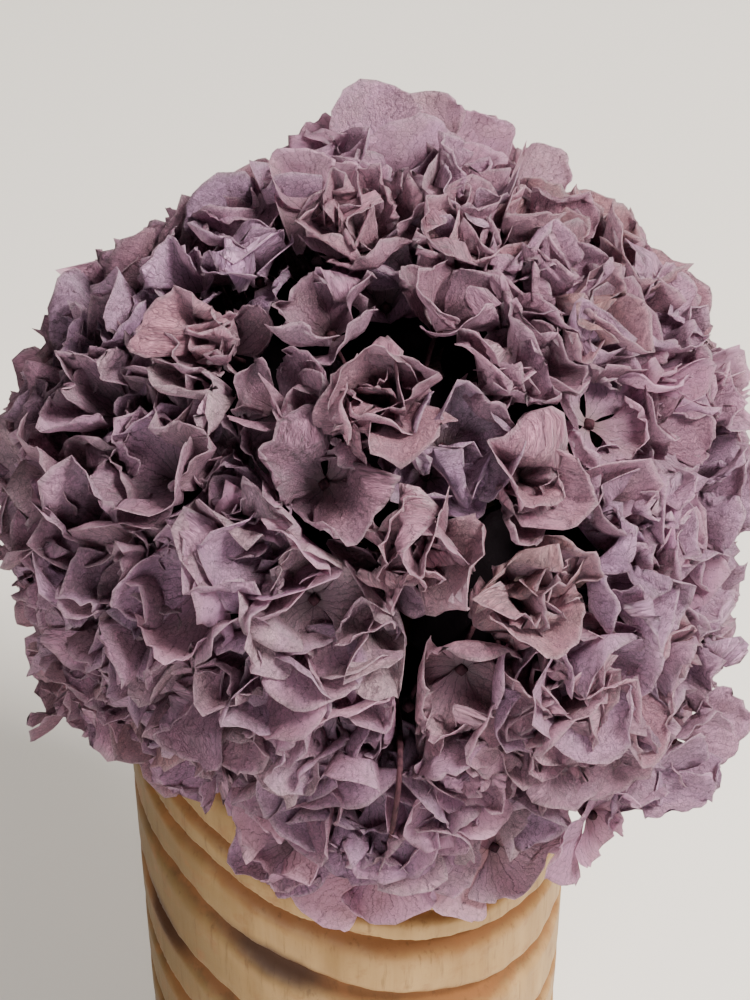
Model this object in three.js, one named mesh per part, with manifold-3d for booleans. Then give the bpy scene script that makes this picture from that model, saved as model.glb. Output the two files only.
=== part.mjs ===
// A dried hydrangea standing in a carved wooden jar. Millimetres, +Z up.
// The origin is the middle of the jar's foot. The jar's front faces -Y and its right side faces +X.
//
// The jar is one turned and carved block: slanting rounded bands with narrow valleys between them.
// In it stands one cut stem. Its top divides into rays, and each ray carries a cyme, a tuft of florets.
// A floret is four papery sepals round a small bud, on a thin stalk that grows from the heart of the cyme.
import * as THREE from "three";
import { mergeVertices } from "three/addons/utils/BufferGeometryUtils.js";
import Module from "manifold-3d";

const wasm = await Module();
wasm.setup();

const DEGREE = Math.PI / 180;
const CLEARANCE = 0.3; // between two pieces that touch
const FACET_TOLERANCE = 0.02; // within which faces left by a cut are merged

// Jar
const JAR_HEIGHT = 180;
const JAR_RADIUS = 64.5;
const BORE_RADIUS = 54;
const FLOOR_THICKNESS = 12;
const EDGE_ROUNDING = 3;
const JAR_SIDES = 24;
const FIRST_VALLEY = 24; // above the rim, before the tilt, so that only its low side shows
const BAND_HEIGHTS = [14, 18, 17, 13, 25, 33, 22, 26, 22, 25, 24]; // from each valley down to the next
const BAND_TILT = 28; // how far every band climbs above its middle height
const BAND_LOW_SIDE = 62 * DEGREE; // from the front towards the right, where the bands lie lowest
const BAND_WANDER = 1.4; // of the carver's hand, up and down
const VALLEY_DEPTH = 3.6;
const BAND_PROFILE = [
  { share: 0, depth: 1 },
  { share: 0.2, depth: 0.25 },
  { share: 0.7, depth: 0 },
]; // share of a band's height below its upper valley, and depth there as a share of the valley's

// Head: a ball of florets that sits low on the jar. Its reach is measured to the florets' buds.
const HEAD_CENTRE = new THREE.Vector3(6.8, 0, JAR_HEIGHT + 55);
const HEAD_REACH = 87;
const SEPALS_REACH = 98; // to the middle of the open sepals, which a viewer sees
const RIM_GAP = 3.5; // from the rim's edge to the middle of a stalk that passes over it
const HANGING_RADIUS = 76; // from the jar's axis to the buds of the florets that hang over its rim
const LOWEST_FLORET = -36 * DEGREE; // apart from those shown hanging lower
const LOBE_ANGLE = 32 * DEGREE; // from a cyme's middle to its edge, seen from the head's centre
const LOBE_DROP = 0.1; // how much lower a cyme's edge lies than its middle, as a share of the reach
const LOBE_LEAN = 0.5; // how far florets at a cyme's edge lean away from its middle
const CLEFT = 10; // from a bud to the plane that parts its cyme from the next

// Florets
const FLORET_SPACING = 29;
const FLORET_CANDIDATES = 132; // on the whole ball, before those too near the ones shown are left out
const CROWDED = 0.62; // share of the spacing within which a candidate is left out
const SETTLING_TURNS = 40;
const FREE_GIVE = 0.4; // share of a crowded gap that a floret yields at each turn
const SHOWN_GIVE = 0.02;
const FULL_SIZE_SHARE = 0.8; // of the spacing, below which a floret grows smaller
const SEPAL_LENGTH = 25.5;
const SEPAL_HALF_WIDTH = 13.5;
const SEPAL_THICKNESS = 0.8;
const SEPAL_SLOPE = 24 * DEGREE; // at the bud, above the floret's own plane
const SEPAL_CUP = 2.4; // how far a sepal's edges stand above its midrib
const SEPAL_WAVE = 2.6;
const HUB_RADIUS = 2.4;
const BUD_HEIGHT = 2.4;
const STALK_RADIUS = 1.2;
const STALK_NECK = 8; // from the hub to the first bend of a stalk that hangs over the rim
const STALK_SINK = 0.78; // how far it then goes towards the middle of the heart
const SHARPEST_FOLD = 0.35; // cosine between a face and the mean of the faces round its corner
const SMALLEST_FLORET = 0.5; // to which a floret is made smaller where its sepals are pressed into folds

// Heart of a cyme, along its axis from the head's centre
const HEART_START = 40;
const HEART_MIDDLE = 18; // past its start, where the stalks spring from
const HEART_PROFILE = [
  [0, 0],
  [6, 0],
  [21, 14],
  [25, 23],
  [15, 31],
  [0, 34],
]; // radius, and distance past its start
const HEART_SIDES = 7;

// Stem
const STEM_RADIUS = 4.2;
const STEM_FOOT = new THREE.Vector3(-12, 9, FLOOR_THICKNESS + CLEARANCE);
const FORK_DEPTH = 66; // of the place where the rays part, below the head's centre
const RAY_RADIUS = 1.6;
const RAY_STEPS = 4;
const RAY_SIDES = 4;

// The photograph's viewpoint, by which florets that it shows are placed. It looks at the head's centre.
const VIEW = {
  focal_px: 2400,
  middle_px: [375, 500],
  pitch: 40 * DEGREE,
  distance: 650,
};

// Cymes: those that the photograph shows by their middle's pixel, the others by azimuth, from the
// front towards the right, and elevation, in degrees.
const CYMES = [
  { name: "crown", px: [392, 160] },
  { name: "upper_left", px: [150, 250] },
  { name: "upper_right", px: [612, 250] },
  { name: "upper_front", px: [420, 425] },
  { name: "left", px: [72, 490] },
  { name: "right", px: [704, 480] },
  { name: "front_left", px: [225, 655] },
  { name: "front_right", px: [590, 670] },
  { name: "upper_back", azimuth: 178, elevation: 26 },
  { name: "back_left", azimuth: -128, elevation: 6 },
  { name: "back_right", azimuth: 128, elevation: 4 },
  { name: "under_front", azimuth: 6, elevation: -38 },
  { name: "under_left", azimuth: -68, elevation: -34 },
  { name: "under_right", azimuth: 78, elevation: -34 },
  { name: "under_back_left", azimuth: -142, elevation: -36 },
  { name: "under_back_right", azimuth: 148, elevation: -36 },
];

// Florets that stand out in the photograph: the bud's pixel, the sepals' size beside the usual one,
// and how far they stay open, from 0 for a closed cup to 1 for flat.
const SHOWN_FLORETS = [
  { px: [372, 205], size: 1.05, open: 0.5 },
  { px: [405, 142], size: 1.1, open: 1 },
  { px: [500, 190], size: 1.0, open: 0.6 },
  { px: [606, 224], size: 1.0, open: 0.7 },
  { px: [548, 268], size: 1.0, open: 0.4 },
  { px: [140, 255], size: 1.0, open: 0.3 },
  { px: [205, 268], size: 0.95, open: 0.3 },
  { px: [268, 240], size: 0.95, open: 0.3 },
  { px: [73, 318], size: 0.75, open: 0.1 },
  { px: [92, 388], size: 1.0, open: 0.6 },
  { px: [188, 365], size: 1.0, open: 0.3 },
  { px: [264, 402], size: 0.9, open: 0.4 },
  { px: [352, 392], size: 1.15, open: 0.5 },
  { px: [452, 290], size: 0.95, open: 0.4 },
  { px: [490, 375], size: 1.0, open: 0.3 },
  { px: [545, 462], size: 1.05, open: 0.5 },
  { px: [604, 384], size: 1.0, open: 0.9 },
  { px: [668, 335], size: 1.0, open: 0.6 },
  { px: [680, 432], size: 1.0, open: 0.6 },
  { px: [418, 545], size: 1.1, open: 0.25 },
  { px: [58, 490], size: 1.0, open: 0.4 },
  { px: [160, 500], size: 1.0, open: 0.5 },
  { px: [268, 492], size: 1.0, open: 0.5 },
  { px: [92, 612], size: 1.0, open: 0.6 },
  { px: [190, 596], size: 1.05, open: 0.8 },
  { px: [292, 612], size: 1.1, open: 0.9 },
  { px: [330, 748], size: 1.1, open: 0.95 },
  { px: [196, 712], size: 1.0, open: 0.7 },
  { px: [528, 597], size: 1.05, open: 0.5 },
  { px: [645, 560], size: 1.0, open: 0.5 },
  { px: [626, 702], size: 1.1, open: 0.7 },
  { px: [488, 700], size: 1.05, open: 0.8 },
  { px: [712, 612], size: 1.0, open: 0.6 },
  { px: [560, 790], size: 1.0, open: 0.6 },
  { px: [378, 884], size: 1.15, open: 1 },
  { px: [490, 860], size: 1.1, open: 1 },
];

// ---------------------------------------------------------------- solids

/** A closed geometry as a solid that can be joined and cut. */
function solidOf(geometry) {
  const bare = geometry.clone();
  bare.deleteAttribute("normal");
  bare.deleteAttribute("uv");
  const merged = mergeVertices(bare, 1e-4);
  return new wasm.Manifold(
    new wasm.Mesh({
      numProp: 3,
      vertProperties: merged.attributes.position.array,
      triVerts: new Uint32Array(merged.index.array),
    }),
  );
}

/** A solid as a named mesh with its own material. */
function meshOf(solid, name, material) {
  const made = solid.simplify(FACET_TOLERANCE).getMesh();
  const position = new Float32Array(made.numVert * 3);
  for (let i = 0; i < made.numVert; i++) {
    position.set(made.vertProperties.subarray(i * made.numProp, i * made.numProp + 3), i * 3);
  }
  const geometry = new THREE.BufferGeometry();
  geometry.setAttribute("position", new THREE.BufferAttribute(position, 3));
  geometry.setIndex(new THREE.BufferAttribute(made.triVerts, 1));
  geometry.computeVertexNormals();
  const mesh = new THREE.Mesh(geometry, material);
  mesh.name = name;
  return mesh;
}

/** The union of a list of solids. */
function joined(solids) {
  return solids.reduce((sum, next) => sum.add(next));
}

/** The largest body of a solid, without the loose scraps and the sealed hollows beside it. */
function largestBody(solid) {
  return solid.decompose().reduce((best, body) => (body.volume() > best.volume() ? body : best));
}

/** A geometry of shared vertices and triangles. */
function facets(points, triangles) {
  const geometry = new THREE.BufferGeometry();
  geometry.setAttribute(
    "position",
    new THREE.Float32BufferAttribute(points.flatMap((p) => [p.x, p.y, p.z]), 3),
  );
  geometry.setIndex(triangles.flat());
  return geometry;
}

/** Turns a geometry's +Y axis to a direction and moves its origin to a point. */
function placed(geometry, direction, origin) {
  const turn = new THREE.Quaternion().setFromUnitVectors(new THREE.Vector3(0, 1, 0), direction);
  return geometry.applyQuaternion(turn).translate(origin.x, origin.y, origin.z);
}

/** A tapering tube through a curve, closed at both ends. */
function taperedTube(curve, steps, sides, radiusAt) {
  const frames = curve.computeFrenetFrames(steps, false);
  const points = [];
  const triangles = [];
  for (let i = 0; i <= steps; i++) {
    const middle = curve.getPointAt(i / steps);
    for (let k = 0; k < sides; k++) {
      const angle = (2 * Math.PI * k) / sides;
      const spoke = frames.normals[i].clone().multiplyScalar(Math.cos(angle));
      spoke.addScaledVector(frames.binormals[i], Math.sin(angle));
      points.push(middle.clone().addScaledVector(spoke, radiusAt(i / steps)));
    }
  }
  for (let i = 0; i < steps; i++) {
    for (let k = 0; k < sides; k++) {
      const a = i * sides + k;
      const b = i * sides + ((k + 1) % sides);
      triangles.push([a, b, b + sides], [a, b + sides, a + sides]);
    }
  }
  const last = steps * sides;
  for (let k = 1; k < sides - 1; k++) {
    triangles.push([0, k + 1, k], [last, last + k, last + k + 1]);
  }
  return facets(points, triangles);
}

/** A repeatable number from 0 to 1 for a whole number. */
function draw(n) {
  const wave = Math.sin(n * 127.1 + 311.7) * 43758.5453;
  return wave - Math.floor(wave);
}

// ---------------------------------------------------------------- jar

/** Height of a valley, or of a line between it and the next, at an angle from the front towards the right. */
function bandHeight(valley, share, angle) {
  const above = BAND_HEIGHTS.slice(0, valley).reduce((sum, height) => sum + height, 0);
  const middle = JAR_HEIGHT + FIRST_VALLEY - above - share * (BAND_HEIGHTS[valley] ?? 0);
  const tilt = BAND_TILT * Math.cos(angle - BAND_LOW_SIDE);
  return middle - tilt + BAND_WANDER * Math.sin(2 * angle + 1.7 * valley);
}

/** The banded block, taller than the jar, as rows of points that follow the bands. */
function bandedBlock() {
  const rows = [];
  for (let valley = BAND_HEIGHTS.length; valley >= 0; valley--) {
    const profile = valley < BAND_HEIGHTS.length ? [...BAND_PROFILE].reverse() : [BAND_PROFILE[0]];
    for (const { share, depth } of profile) {
      rows.push({ valley, share, radius: JAR_RADIUS - VALLEY_DEPTH * depth });
    }
  }
  rows.push({ valley: 0, share: (-2 * BAND_TILT) / BAND_HEIGHTS[0], radius: JAR_RADIUS });
  const points = [];
  const triangles = [];
  for (const { valley, share, radius } of rows) {
    for (let k = 0; k < JAR_SIDES; k++) {
      const angle = (2 * Math.PI * k) / JAR_SIDES;
      const height = bandHeight(valley, share, angle);
      points.push(new THREE.Vector3(radius * Math.sin(angle), -radius * Math.cos(angle), height));
    }
  }
  const top = points.length;
  const { valley, share } = rows.at(-1);
  points.push(new THREE.Vector3(0, 0, bandHeight(valley, share, BAND_LOW_SIDE + Math.PI / 2)));
  points.push(new THREE.Vector3(0, 0, bandHeight(rows[0].valley, 0, BAND_LOW_SIDE + Math.PI / 2)));
  for (let row = 0; row < rows.length - 1; row++) {
    for (let k = 0; k < JAR_SIDES; k++) {
      const a = row * JAR_SIDES + k;
      const b = row * JAR_SIDES + ((k + 1) % JAR_SIDES);
      triangles.push([a, b, b + JAR_SIDES], [a, b + JAR_SIDES, a + JAR_SIDES]);
    }
  }
  const last = (rows.length - 1) * JAR_SIDES;
  for (let k = 0; k < JAR_SIDES; k++) {
    const next = (k + 1) % JAR_SIDES;
    triangles.push([last + k, last + next, top], [next, k, top + 1]);
  }
  return facets(points, triangles);
}

/** A solid of revolution about +Z from a profile of radius and height that starts and ends on the axis. */
function turned(profile, sides) {
  const outline = profile.map(([radius, height]) => new THREE.Vector2(radius, height));
  return new THREE.LatheGeometry(outline, sides).rotateX(Math.PI / 2);
}

/** The jar: the banded block, cut flat at foot and rim with rounded edges, and bored out. */
function jarSolid() {
  const wide = JAR_RADIUS + 2;
  const narrow = JAR_RADIUS - EDGE_ROUNDING;
  const envelope = turned(
    [
      [0, 0],
      [narrow - 1, 0],
      [narrow + 1, 1],
      [wide, 2 * EDGE_ROUNDING],
      [wide, JAR_HEIGHT - 2 * EDGE_ROUNDING],
      [narrow + 0.5, JAR_HEIGHT],
      [0, JAR_HEIGHT],
    ],
    JAR_SIDES,
  );
  const bore = turned(
    [
      [0, FLOOR_THICKNESS],
      [BORE_RADIUS - 5, FLOOR_THICKNESS],
      [BORE_RADIUS, FLOOR_THICKNESS + 5],
      [BORE_RADIUS, JAR_HEIGHT - 2],
      [BORE_RADIUS + 3, JAR_HEIGHT + 1],
      [0, JAR_HEIGHT + 1],
    ],
    JAR_SIDES,
  );
  return solidOf(bandedBlock()).intersect(solidOf(envelope)).subtract(solidOf(bore));
}

// ---------------------------------------------------------------- where the florets stand

/** Direction from the head's centre for an azimuth from the front towards the right and an elevation. */
function towards(azimuth, elevation) {
  return new THREE.Vector3(
    Math.cos(elevation) * Math.sin(azimuth),
    -Math.cos(elevation) * Math.cos(azimuth),
    Math.sin(elevation),
  );
}

/** Whether a floret in a direction from the head's centre hangs over the jar's rim. */
function hangsAt(direction) {
  return HEAD_CENTRE.z + HEAD_REACH * direction.z < JAR_HEIGHT + STALK_NECK;
}

/** How far from the head's centre a bud lies in a direction: on a ball, or outside the jar's rim. */
function reachAt(direction) {
  if (!hangsAt(direction)) return HEAD_REACH;
  const level = Math.hypot(direction.x, direction.y);
  const along = (HEAD_CENTRE.x * direction.x) / level;
  const aside = (HEAD_CENTRE.x * direction.y) / level;
  return Math.max(HEAD_REACH, (Math.sqrt(HANGING_RADIUS ** 2 - aside ** 2) - along) / level);
}

/** Direction of the point of the head's surface that the photograph shows at a pixel. */
function directionAtPixel([x, y]) {
  const { focal_px, middle_px, pitch, distance } = VIEW;
  const look = new THREE.Vector3(0, Math.cos(pitch), -Math.sin(pitch));
  const up = new THREE.Vector3(0, Math.sin(pitch), Math.cos(pitch));
  const ray = look.clone().multiplyScalar(focal_px);
  ray.x += x - middle_px[0];
  ray.addScaledVector(up, middle_px[1] - y).normalize();
  const eye = look.clone().multiplyScalar(-distance);
  // The reach changes with the direction, so the crossing is found again for the new reach.
  const outside = SEPALS_REACH - HEAD_REACH;
  let reach = SEPALS_REACH;
  const found = new THREE.Vector3();
  for (let turn = 0; turn < 8; turn++) {
    const along = -eye.dot(ray);
    const missed = eye.lengthSq() - along * along;
    const inside = Math.sqrt(Math.max(reach * reach - missed, 0));
    found.copy(eye).addScaledVector(ray, along - inside).normalize();
    reach = reachAt(found) + outside;
  }
  return found;
}

const cymes = CYMES.map(({ name, px, azimuth, elevation }) => ({
  name,
  axis: px ? directionAtPixel(px) : towards(azimuth * DEGREE, elevation * DEGREE),
}));

/** Planes through the head's centre that part a cyme from the others, as normals that point to its side. */
function partingPlanes(cyme) {
  const others = cymes.filter((other) => other !== cyme);
  return others.map((other) => cyme.axis.clone().sub(other.axis).normalize());
}
for (const cyme of cymes) cyme.planes = partingPlanes(cyme);

/** Moves a direction away from the planes that part its cyme from the next, so that a cleft stays open. */
function clearOfCleft(direction, cyme) {
  const moved = direction.clone();
  const least = CLEFT / HEAD_REACH;
  for (let turn = 0; turn < 3; turn++) {
    for (const plane of cyme.planes) {
      moved.addScaledVector(plane, Math.max(least - moved.dot(plane), 0)).normalize();
    }
  }
  return moved;
}

/** The cyme that a direction belongs to: the one whose axis is nearest. */
function cymeOf(direction) {
  return cymes.reduce((best, cyme) => (cyme.axis.dot(direction) > best.axis.dot(direction) ? cyme : best));
}

/** A floret's place: its bud, the way it faces, its cyme, its size and how open it is. */
function floretAt(direction, size, open, index) {
  const cyme = cymeOf(direction);
  const angle = Math.acos(THREE.MathUtils.clamp(direction.dot(cyme.axis), -1, 1));
  const share = Math.min(angle / LOBE_ANGLE, 1.2);
  const outward = direction.clone().addScaledVector(cyme.axis, -direction.dot(cyme.axis));
  if (outward.lengthSq() > 1e-9) outward.normalize();
  const reach = reachAt(direction);
  const hanging = hangsAt(direction);
  const drop = hanging ? 1 : 1 - LOBE_DROP * share * share;
  return {
    cyme,
    index,
    size,
    open,
    hanging,
    bud: HEAD_CENTRE.clone().addScaledVector(direction, reach * drop),
    facing: direction.clone().addScaledVector(outward, LOBE_LEAN * share).normalize(),
    spin: 2 * Math.PI * draw(index * 3 + 1),
  };
}

/** Directions on a spiral over the ball, left out below the lowest florets and close to those shown. */
function candidateDirections(shown) {
  const golden = Math.PI * (3 - Math.sqrt(5));
  const least = (CROWDED * FLORET_SPACING) / HEAD_REACH;
  const found = [];
  for (let i = 0; i < FLORET_CANDIDATES; i++) {
    const elevation = Math.asin(1 - (2 * i + 1) / FLORET_CANDIDATES);
    if (elevation < LOWEST_FLORET) break;
    const direction = towards(i * golden, elevation);
    if (shown.every((other) => other.distanceTo(direction) > least)) found.push(direction);
  }
  return found;
}

/** Lets directions push each other apart until they are evenly spaced. The shown ones hardly move. */
function settle(shown, free) {
  const wanted = FLORET_SPACING / HEAD_REACH;
  const all = [...shown, ...free];
  for (let turn = 0; turn < SETTLING_TURNS; turn++) {
    all.forEach((direction, i) => {
      const give = i < shown.length ? SHOWN_GIVE : FREE_GIVE;
      const push = new THREE.Vector3();
      for (const other of all) {
        const gap = direction.distanceTo(other);
        if (gap === 0 || gap > wanted) continue;
        push.addScaledVector(direction.clone().sub(other), (give * (wanted - gap)) / gap);
      }
      direction.add(push).normalize();
      direction.copy(clearOfCleft(direction, cymeOf(direction)));
      if (i >= shown.length && direction.z < Math.sin(LOWEST_FLORET)) {
        direction.setZ(Math.sin(LOWEST_FLORET)).normalize();
      }
    });
  }
}

/** All florets: those that the photograph shows, and others that fill the ball between them. */
function placeFlorets() {
  const wanted = SHOWN_FLORETS.map(({ px }) => directionAtPixel(px));
  const shown = wanted.map((direction) => clearOfCleft(direction, cymeOf(direction)));
  const free = candidateDirections(shown);
  settle(shown, free);
  const first = SHOWN_FLORETS.map(({ size, open }, i) => floretAt(shown[i], size, open, i));
  const others = free.map((direction, i) => {
    const index = shown.length + i;
    return floretAt(direction, 0.94 + 0.14 * draw(index * 5 + 2), 0.3 + 0.5 * draw(index * 7 + 3), index);
  });
  return [...first, ...others];
}

const florets = placeFlorets();

/** Planes half-way between a floret and its neighbours, by a point and the normal towards the floret. */
function neighbourPlanes(floret) {
  const planes = [];
  for (const other of florets) {
    const gap = other.bud.distanceTo(floret.bud);
    if (other === floret || gap > 4 * SEPAL_LENGTH) continue;
    planes.push({
      point: other.bud.clone().lerp(floret.bud, 0.5),
      normal: floret.bud.clone().sub(other.bud).divideScalar(gap),
      gap,
    });
  }
  return planes;
}

for (const floret of florets) {
  floret.neighbours = neighbourPlanes(floret);
  floret.walls = wallsRound(floret);
  const nearest = Math.min(...floret.neighbours.map(({ gap }) => gap));
  floret.size *= Math.min(nearest / (FULL_SIZE_SHARE * FLORET_SPACING), 1);
}

// ---------------------------------------------------------------- florets

/** Room from a floret's bud in a direction, up to half-way to its neighbours. */
function roomTowards(floret, direction) {
  let room = 2 * SEPAL_LENGTH;
  for (const { point, normal } of floret.neighbours) {
    const lean = -direction.dot(normal);
    if (lean > 0.05) room = Math.min(room, floret.bud.clone().sub(point).dot(normal) / lean);
  }
  return room;
}

/** The curl, in radians per mm, that lets a sepal of a length reach no further than the room it has. */
function curlFor(length, room, slope, open) {
  let low = (0.15 / length) * (1 + 2 * (1 - open));
  let high = 2.1 / length;
  const reach = (curl) => (Math.sin(slope + curl * length) - Math.sin(slope)) / curl;
  if (reach(low) <= room) return low;
  for (let turn = 0; turn < 20; turn++) {
    const middle = (low + high) / 2;
    if (reach(middle) > room) low = middle;
    else high = middle;
  }
  return high;
}

/** How far a point at a distance from a plane is pressed away from it, softly before the least distance. */
function press(distance, least, softness) {
  if (distance >= least + softness) return 0;
  return least + softness * Math.exp((distance - least - softness) / softness) - distance;
}

/** Walls that a floret's points keep inside of: half-way to its neighbours, and round its cyme. */
function wallsRound(floret) {
  const softness = 3;
  const walls = floret.neighbours.map((plane) => ({ ...plane, least: SEPAL_THICKNESS, softness }));
  for (const normal of floret.cyme.planes) {
    walls.push({ point: HEAD_CENTRE, normal, least: 2 * SEPAL_THICKNESS, softness });
  }
  return walls;
}

/** Keeps a point of a floret inside a list of walls and clear of the jar. */
function keptClear(point, floret, walls) {
  const edge = SEPAL_THICKNESS;
  const kept = point.clone();
  for (const { point: on, normal, least, softness } of walls) {
    kept.addScaledVector(normal, press(point.clone().sub(on).dot(normal), least, softness));
  }
  for (let turn = 0; turn < 6; turn++) {
    for (const { point: on, normal, least } of walls) {
      kept.addScaledVector(normal, Math.max(least - kept.clone().sub(on).dot(normal), 0));
    }
    if (floret.hanging) {
      const radius = Math.hypot(kept.x, kept.y);
      const push = Math.max((JAR_RADIUS + 3 * edge) / radius, 1);
      kept.x *= push;
      kept.y *= push;
    } else {
      kept.z = Math.max(kept.z, JAR_HEIGHT + 2 * edge);
    }
  }
  return kept;
}

// A sepal's corners as share of its length and of its half width: round its edge, then in its middle.
const SEPAL_CORNERS = [
  [0.44, -0.74],
  [0.84, -0.94],
  [1, 0],
  [0.84, 0.94],
  [0.44, 0.74],
  [0.55, 0],
];

/** Corners of the middle surface of one sepal, curled up within the room it has. */
function sepalCorners(floret, quarter, across, out) {
  const { facing, bud, size, open, index } = floret;
  const inner = quarter % 2;
  const length = SEPAL_LENGTH * size * (0.92 + 0.16 * draw(index * 13 + quarter));
  const slope = SEPAL_SLOPE * (1.4 - open) + inner * 0.14;
  const curl = curlFor(length, roomTowards(floret, out) - SEPAL_THICKNESS, slope, open);
  const walls = [...floret.walls];
  for (const flank of [-1, 1]) {
    const normal = out.clone().addScaledVector(across, flank).normalize();
    walls.push({ point: bud, normal, least: 0.8 * SEPAL_THICKNESS, softness: 0.5 });
  }
  return SEPAL_CORNERS.map(([share, flank], i) => {
    const angle = slope + curl * length * share;
    const reach = (Math.sin(angle) - Math.sin(slope)) / curl;
    const rise = (Math.cos(slope) - Math.cos(angle)) / curl;
    const wave = SEPAL_WAVE * (draw(index * 17 + quarter * 7 + i) - 0.5);
    const lift = Math.abs(flank) * (SEPAL_CUP * (0.6 + 0.8 * inner) + wave);
    const point = bud.clone().addScaledVector(out, reach - lift * Math.sin(angle));
    point.addScaledVector(facing, rise + lift * Math.cos(angle));
    point.addScaledVector(across, SEPAL_HALF_WIDTH * size * flank);
    return keptClear(point, floret, walls);
  });
}

/** The place over the jar's rim where the stalk of a hanging floret bends. */
function overRim(bud) {
  const outside = (JAR_RADIUS + RIM_GAP) / Math.hypot(bud.x, bud.y);
  return new THREE.Vector3(bud.x * outside, bud.y * outside, JAR_HEIGHT + RIM_GAP);
}

/** A direction in a floret's own plane, at an angle from its first one. */
function spokeOf({ facing }, angle) {
  const side = new THREE.Vector3(facing.y, -facing.x, 0.01).normalize();
  const other = new THREE.Vector3().crossVectors(facing, side).normalize();
  return side.multiplyScalar(Math.cos(angle)).addScaledVector(other, Math.sin(angle)).normalize();
}

/** The middle surface of a floret: four corners of its hub, then six for each sepal, and its faces. */
function floretSheet(floret) {
  const corners = [0, 1, 2, 3].map((k) => spokeOf(floret, floret.spin + (k - 0.5) * (Math.PI / 2)));
  const sheet = corners.map((way) => floret.bud.clone().addScaledVector(way, HUB_RADIUS));
  const faces = [];
  const rims = [];
  for (let quarter = 0; quarter < 4; quarter++) {
    const out = spokeOf(floret, floret.spin + (quarter * Math.PI) / 2);
    const across = new THREE.Vector3().crossVectors(floret.facing, out);
    const first = sheet.length;
    sheet.push(...sepalCorners(floret, quarter, across, out));
    const middle = first + SEPAL_CORNERS.length - 1;
    const edge = [quarter, first, first + 1, first + 2, first + 3, first + 4, (quarter + 1) % 4];
    edge.forEach((corner, i) => {
      if (i + 1 < edge.length) rims.push([corner, edge[i + 1]]);
      faces.push([corner, edge[(i + 1) % edge.length], middle]);
    });
  }
  const faceNormals = faces.map(([a, b, c]) => {
    return sheet[b].clone().sub(sheet[a]).cross(sheet[c].clone().sub(sheet[a]));
  });
  const normals = sheet.map(() => new THREE.Vector3());
  faces.forEach((face, i) => face.forEach((corner) => normals[corner].add(faceNormals[i])));
  normals.forEach((normal, i) => (i < 4 ? normal.copy(floret.facing) : normal.normalize()));
  const smooth = faces.every((face, i) => {
    const flat = faceNormals[i].normalize();
    return face.every((corner) => flat.dot(normals[corner]) > SHARPEST_FOLD);
  });
  return { sheet, faces, rims, normals, smooth, corners };
}

/** A floret: four sepals that share the corners of a small hub with a pointed bud, and the stalk below it. */
function floretGeometry(floret) {
  let made = floretSheet(floret);
  while (!made.smooth && floret.size > SMALLEST_FLORET) {
    floret.size *= 0.94;
    made = floretSheet(floret);
  }
  const { sheet, faces, rims, normals, corners } = made;
  const { facing, bud, cyme, hanging } = floret;
  const half = SEPAL_THICKNESS / 2;
  const upper = sheet.map((point, i) => point.clone().addScaledVector(normals[i], half));
  const lower = sheet.map((point, i) => point.clone().addScaledVector(normals[i], -half));
  const points = [...upper, ...lower];
  const under = sheet.length;
  const triangles = faces.flatMap(([a, b, c]) => [[a, b, c], [a + under, c + under, b + under]]);
  for (const [a, b] of rims) triangles.push([b, a, a + under], [b, a + under, b + under]);
  // The bud over the hub, and the stalk from the hub's underside, as rings of four corners.
  const tip = points.length;
  points.push(bud.clone().addScaledVector(facing, BUD_HEIGHT));
  const heart = HEAD_CENTRE.clone().addScaledVector(cyme.axis, HEART_START + HEART_MIDDLE);
  const route = [bud];
  if (hanging) route.push(bud.clone().addScaledVector(facing, -STALK_NECK), overRim(bud));
  route.push(route.at(-1).clone().lerp(heart, STALK_SINK));
  for (let i = 1; i < route.length; i++) {
    const before = route[i - 1].clone().sub(route[i]).normalize();
    const after = i + 1 < route.length ? route[i].clone().sub(route[i + 1]).normalize() : before;
    const axis = before.clone().add(after).normalize();
    for (const way of corners) {
      const flat = way.clone().addScaledVector(axis, -way.dot(axis)).normalize();
      points.push(route[i].clone().addScaledVector(flat, STALK_RADIUS));
    }
  }
  const rings = [under, ...route.slice(1).map((_, i) => tip + 1 + 4 * i)];
  for (let k = 0; k < 4; k++) {
    const next = (k + 1) % 4;
    triangles.push([k, next, tip]);
    for (let i = 0; i < rings.length - 1; i++) {
      const high = rings[i];
      const low = rings[i + 1];
      triangles.push([high + k, low + k, low + next], [high + k, low + next, high + next]);
    }
  }
  const end = rings.at(-1);
  triangles.push([end, end + 2, end + 1], [end, end + 3, end + 2]);
  return facets(points, triangles);
}

// ---------------------------------------------------------------- cymes

/** The heart of a cyme, where its stalks spring from: a dome on the end of its ray, flat at the clefts. */
function heartSolid(cyme) {
  const outline = HEART_PROFILE.map(([radius, height]) => new THREE.Vector2(radius, height));
  const dome = new THREE.LatheGeometry(outline, HEART_SIDES);
  placed(dome, cyme.axis, HEAD_CENTRE.clone().addScaledVector(cyme.axis, HEART_START));
  const { position } = dome.attributes;
  for (let i = 0; i < position.count; i++) {
    const point = new THREE.Vector3().fromBufferAttribute(position, i).sub(HEAD_CENTRE);
    for (const plane of [...cyme.planes, ...cyme.planes]) {
      point.addScaledVector(plane, Math.max(CLEARANCE - point.dot(plane), 0));
    }
    point.add(HEAD_CENTRE);
    position.setXYZ(i, point.x, point.y, Math.max(point.z, JAR_HEIGHT + 2 * CLEARANCE));
  }
  return solidOf(dome);
}

/** A whole cyme: its heart and all its florets as one body, with any hollow that this seals filled. */
function cymeSolid(cyme) {
  const own = florets.filter((floret) => floret.cyme === cyme);
  return largestBody(joined([heartSolid(cyme), ...own.map((floret) => solidOf(floretGeometry(floret)))]));
}

// ---------------------------------------------------------------- stem

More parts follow.
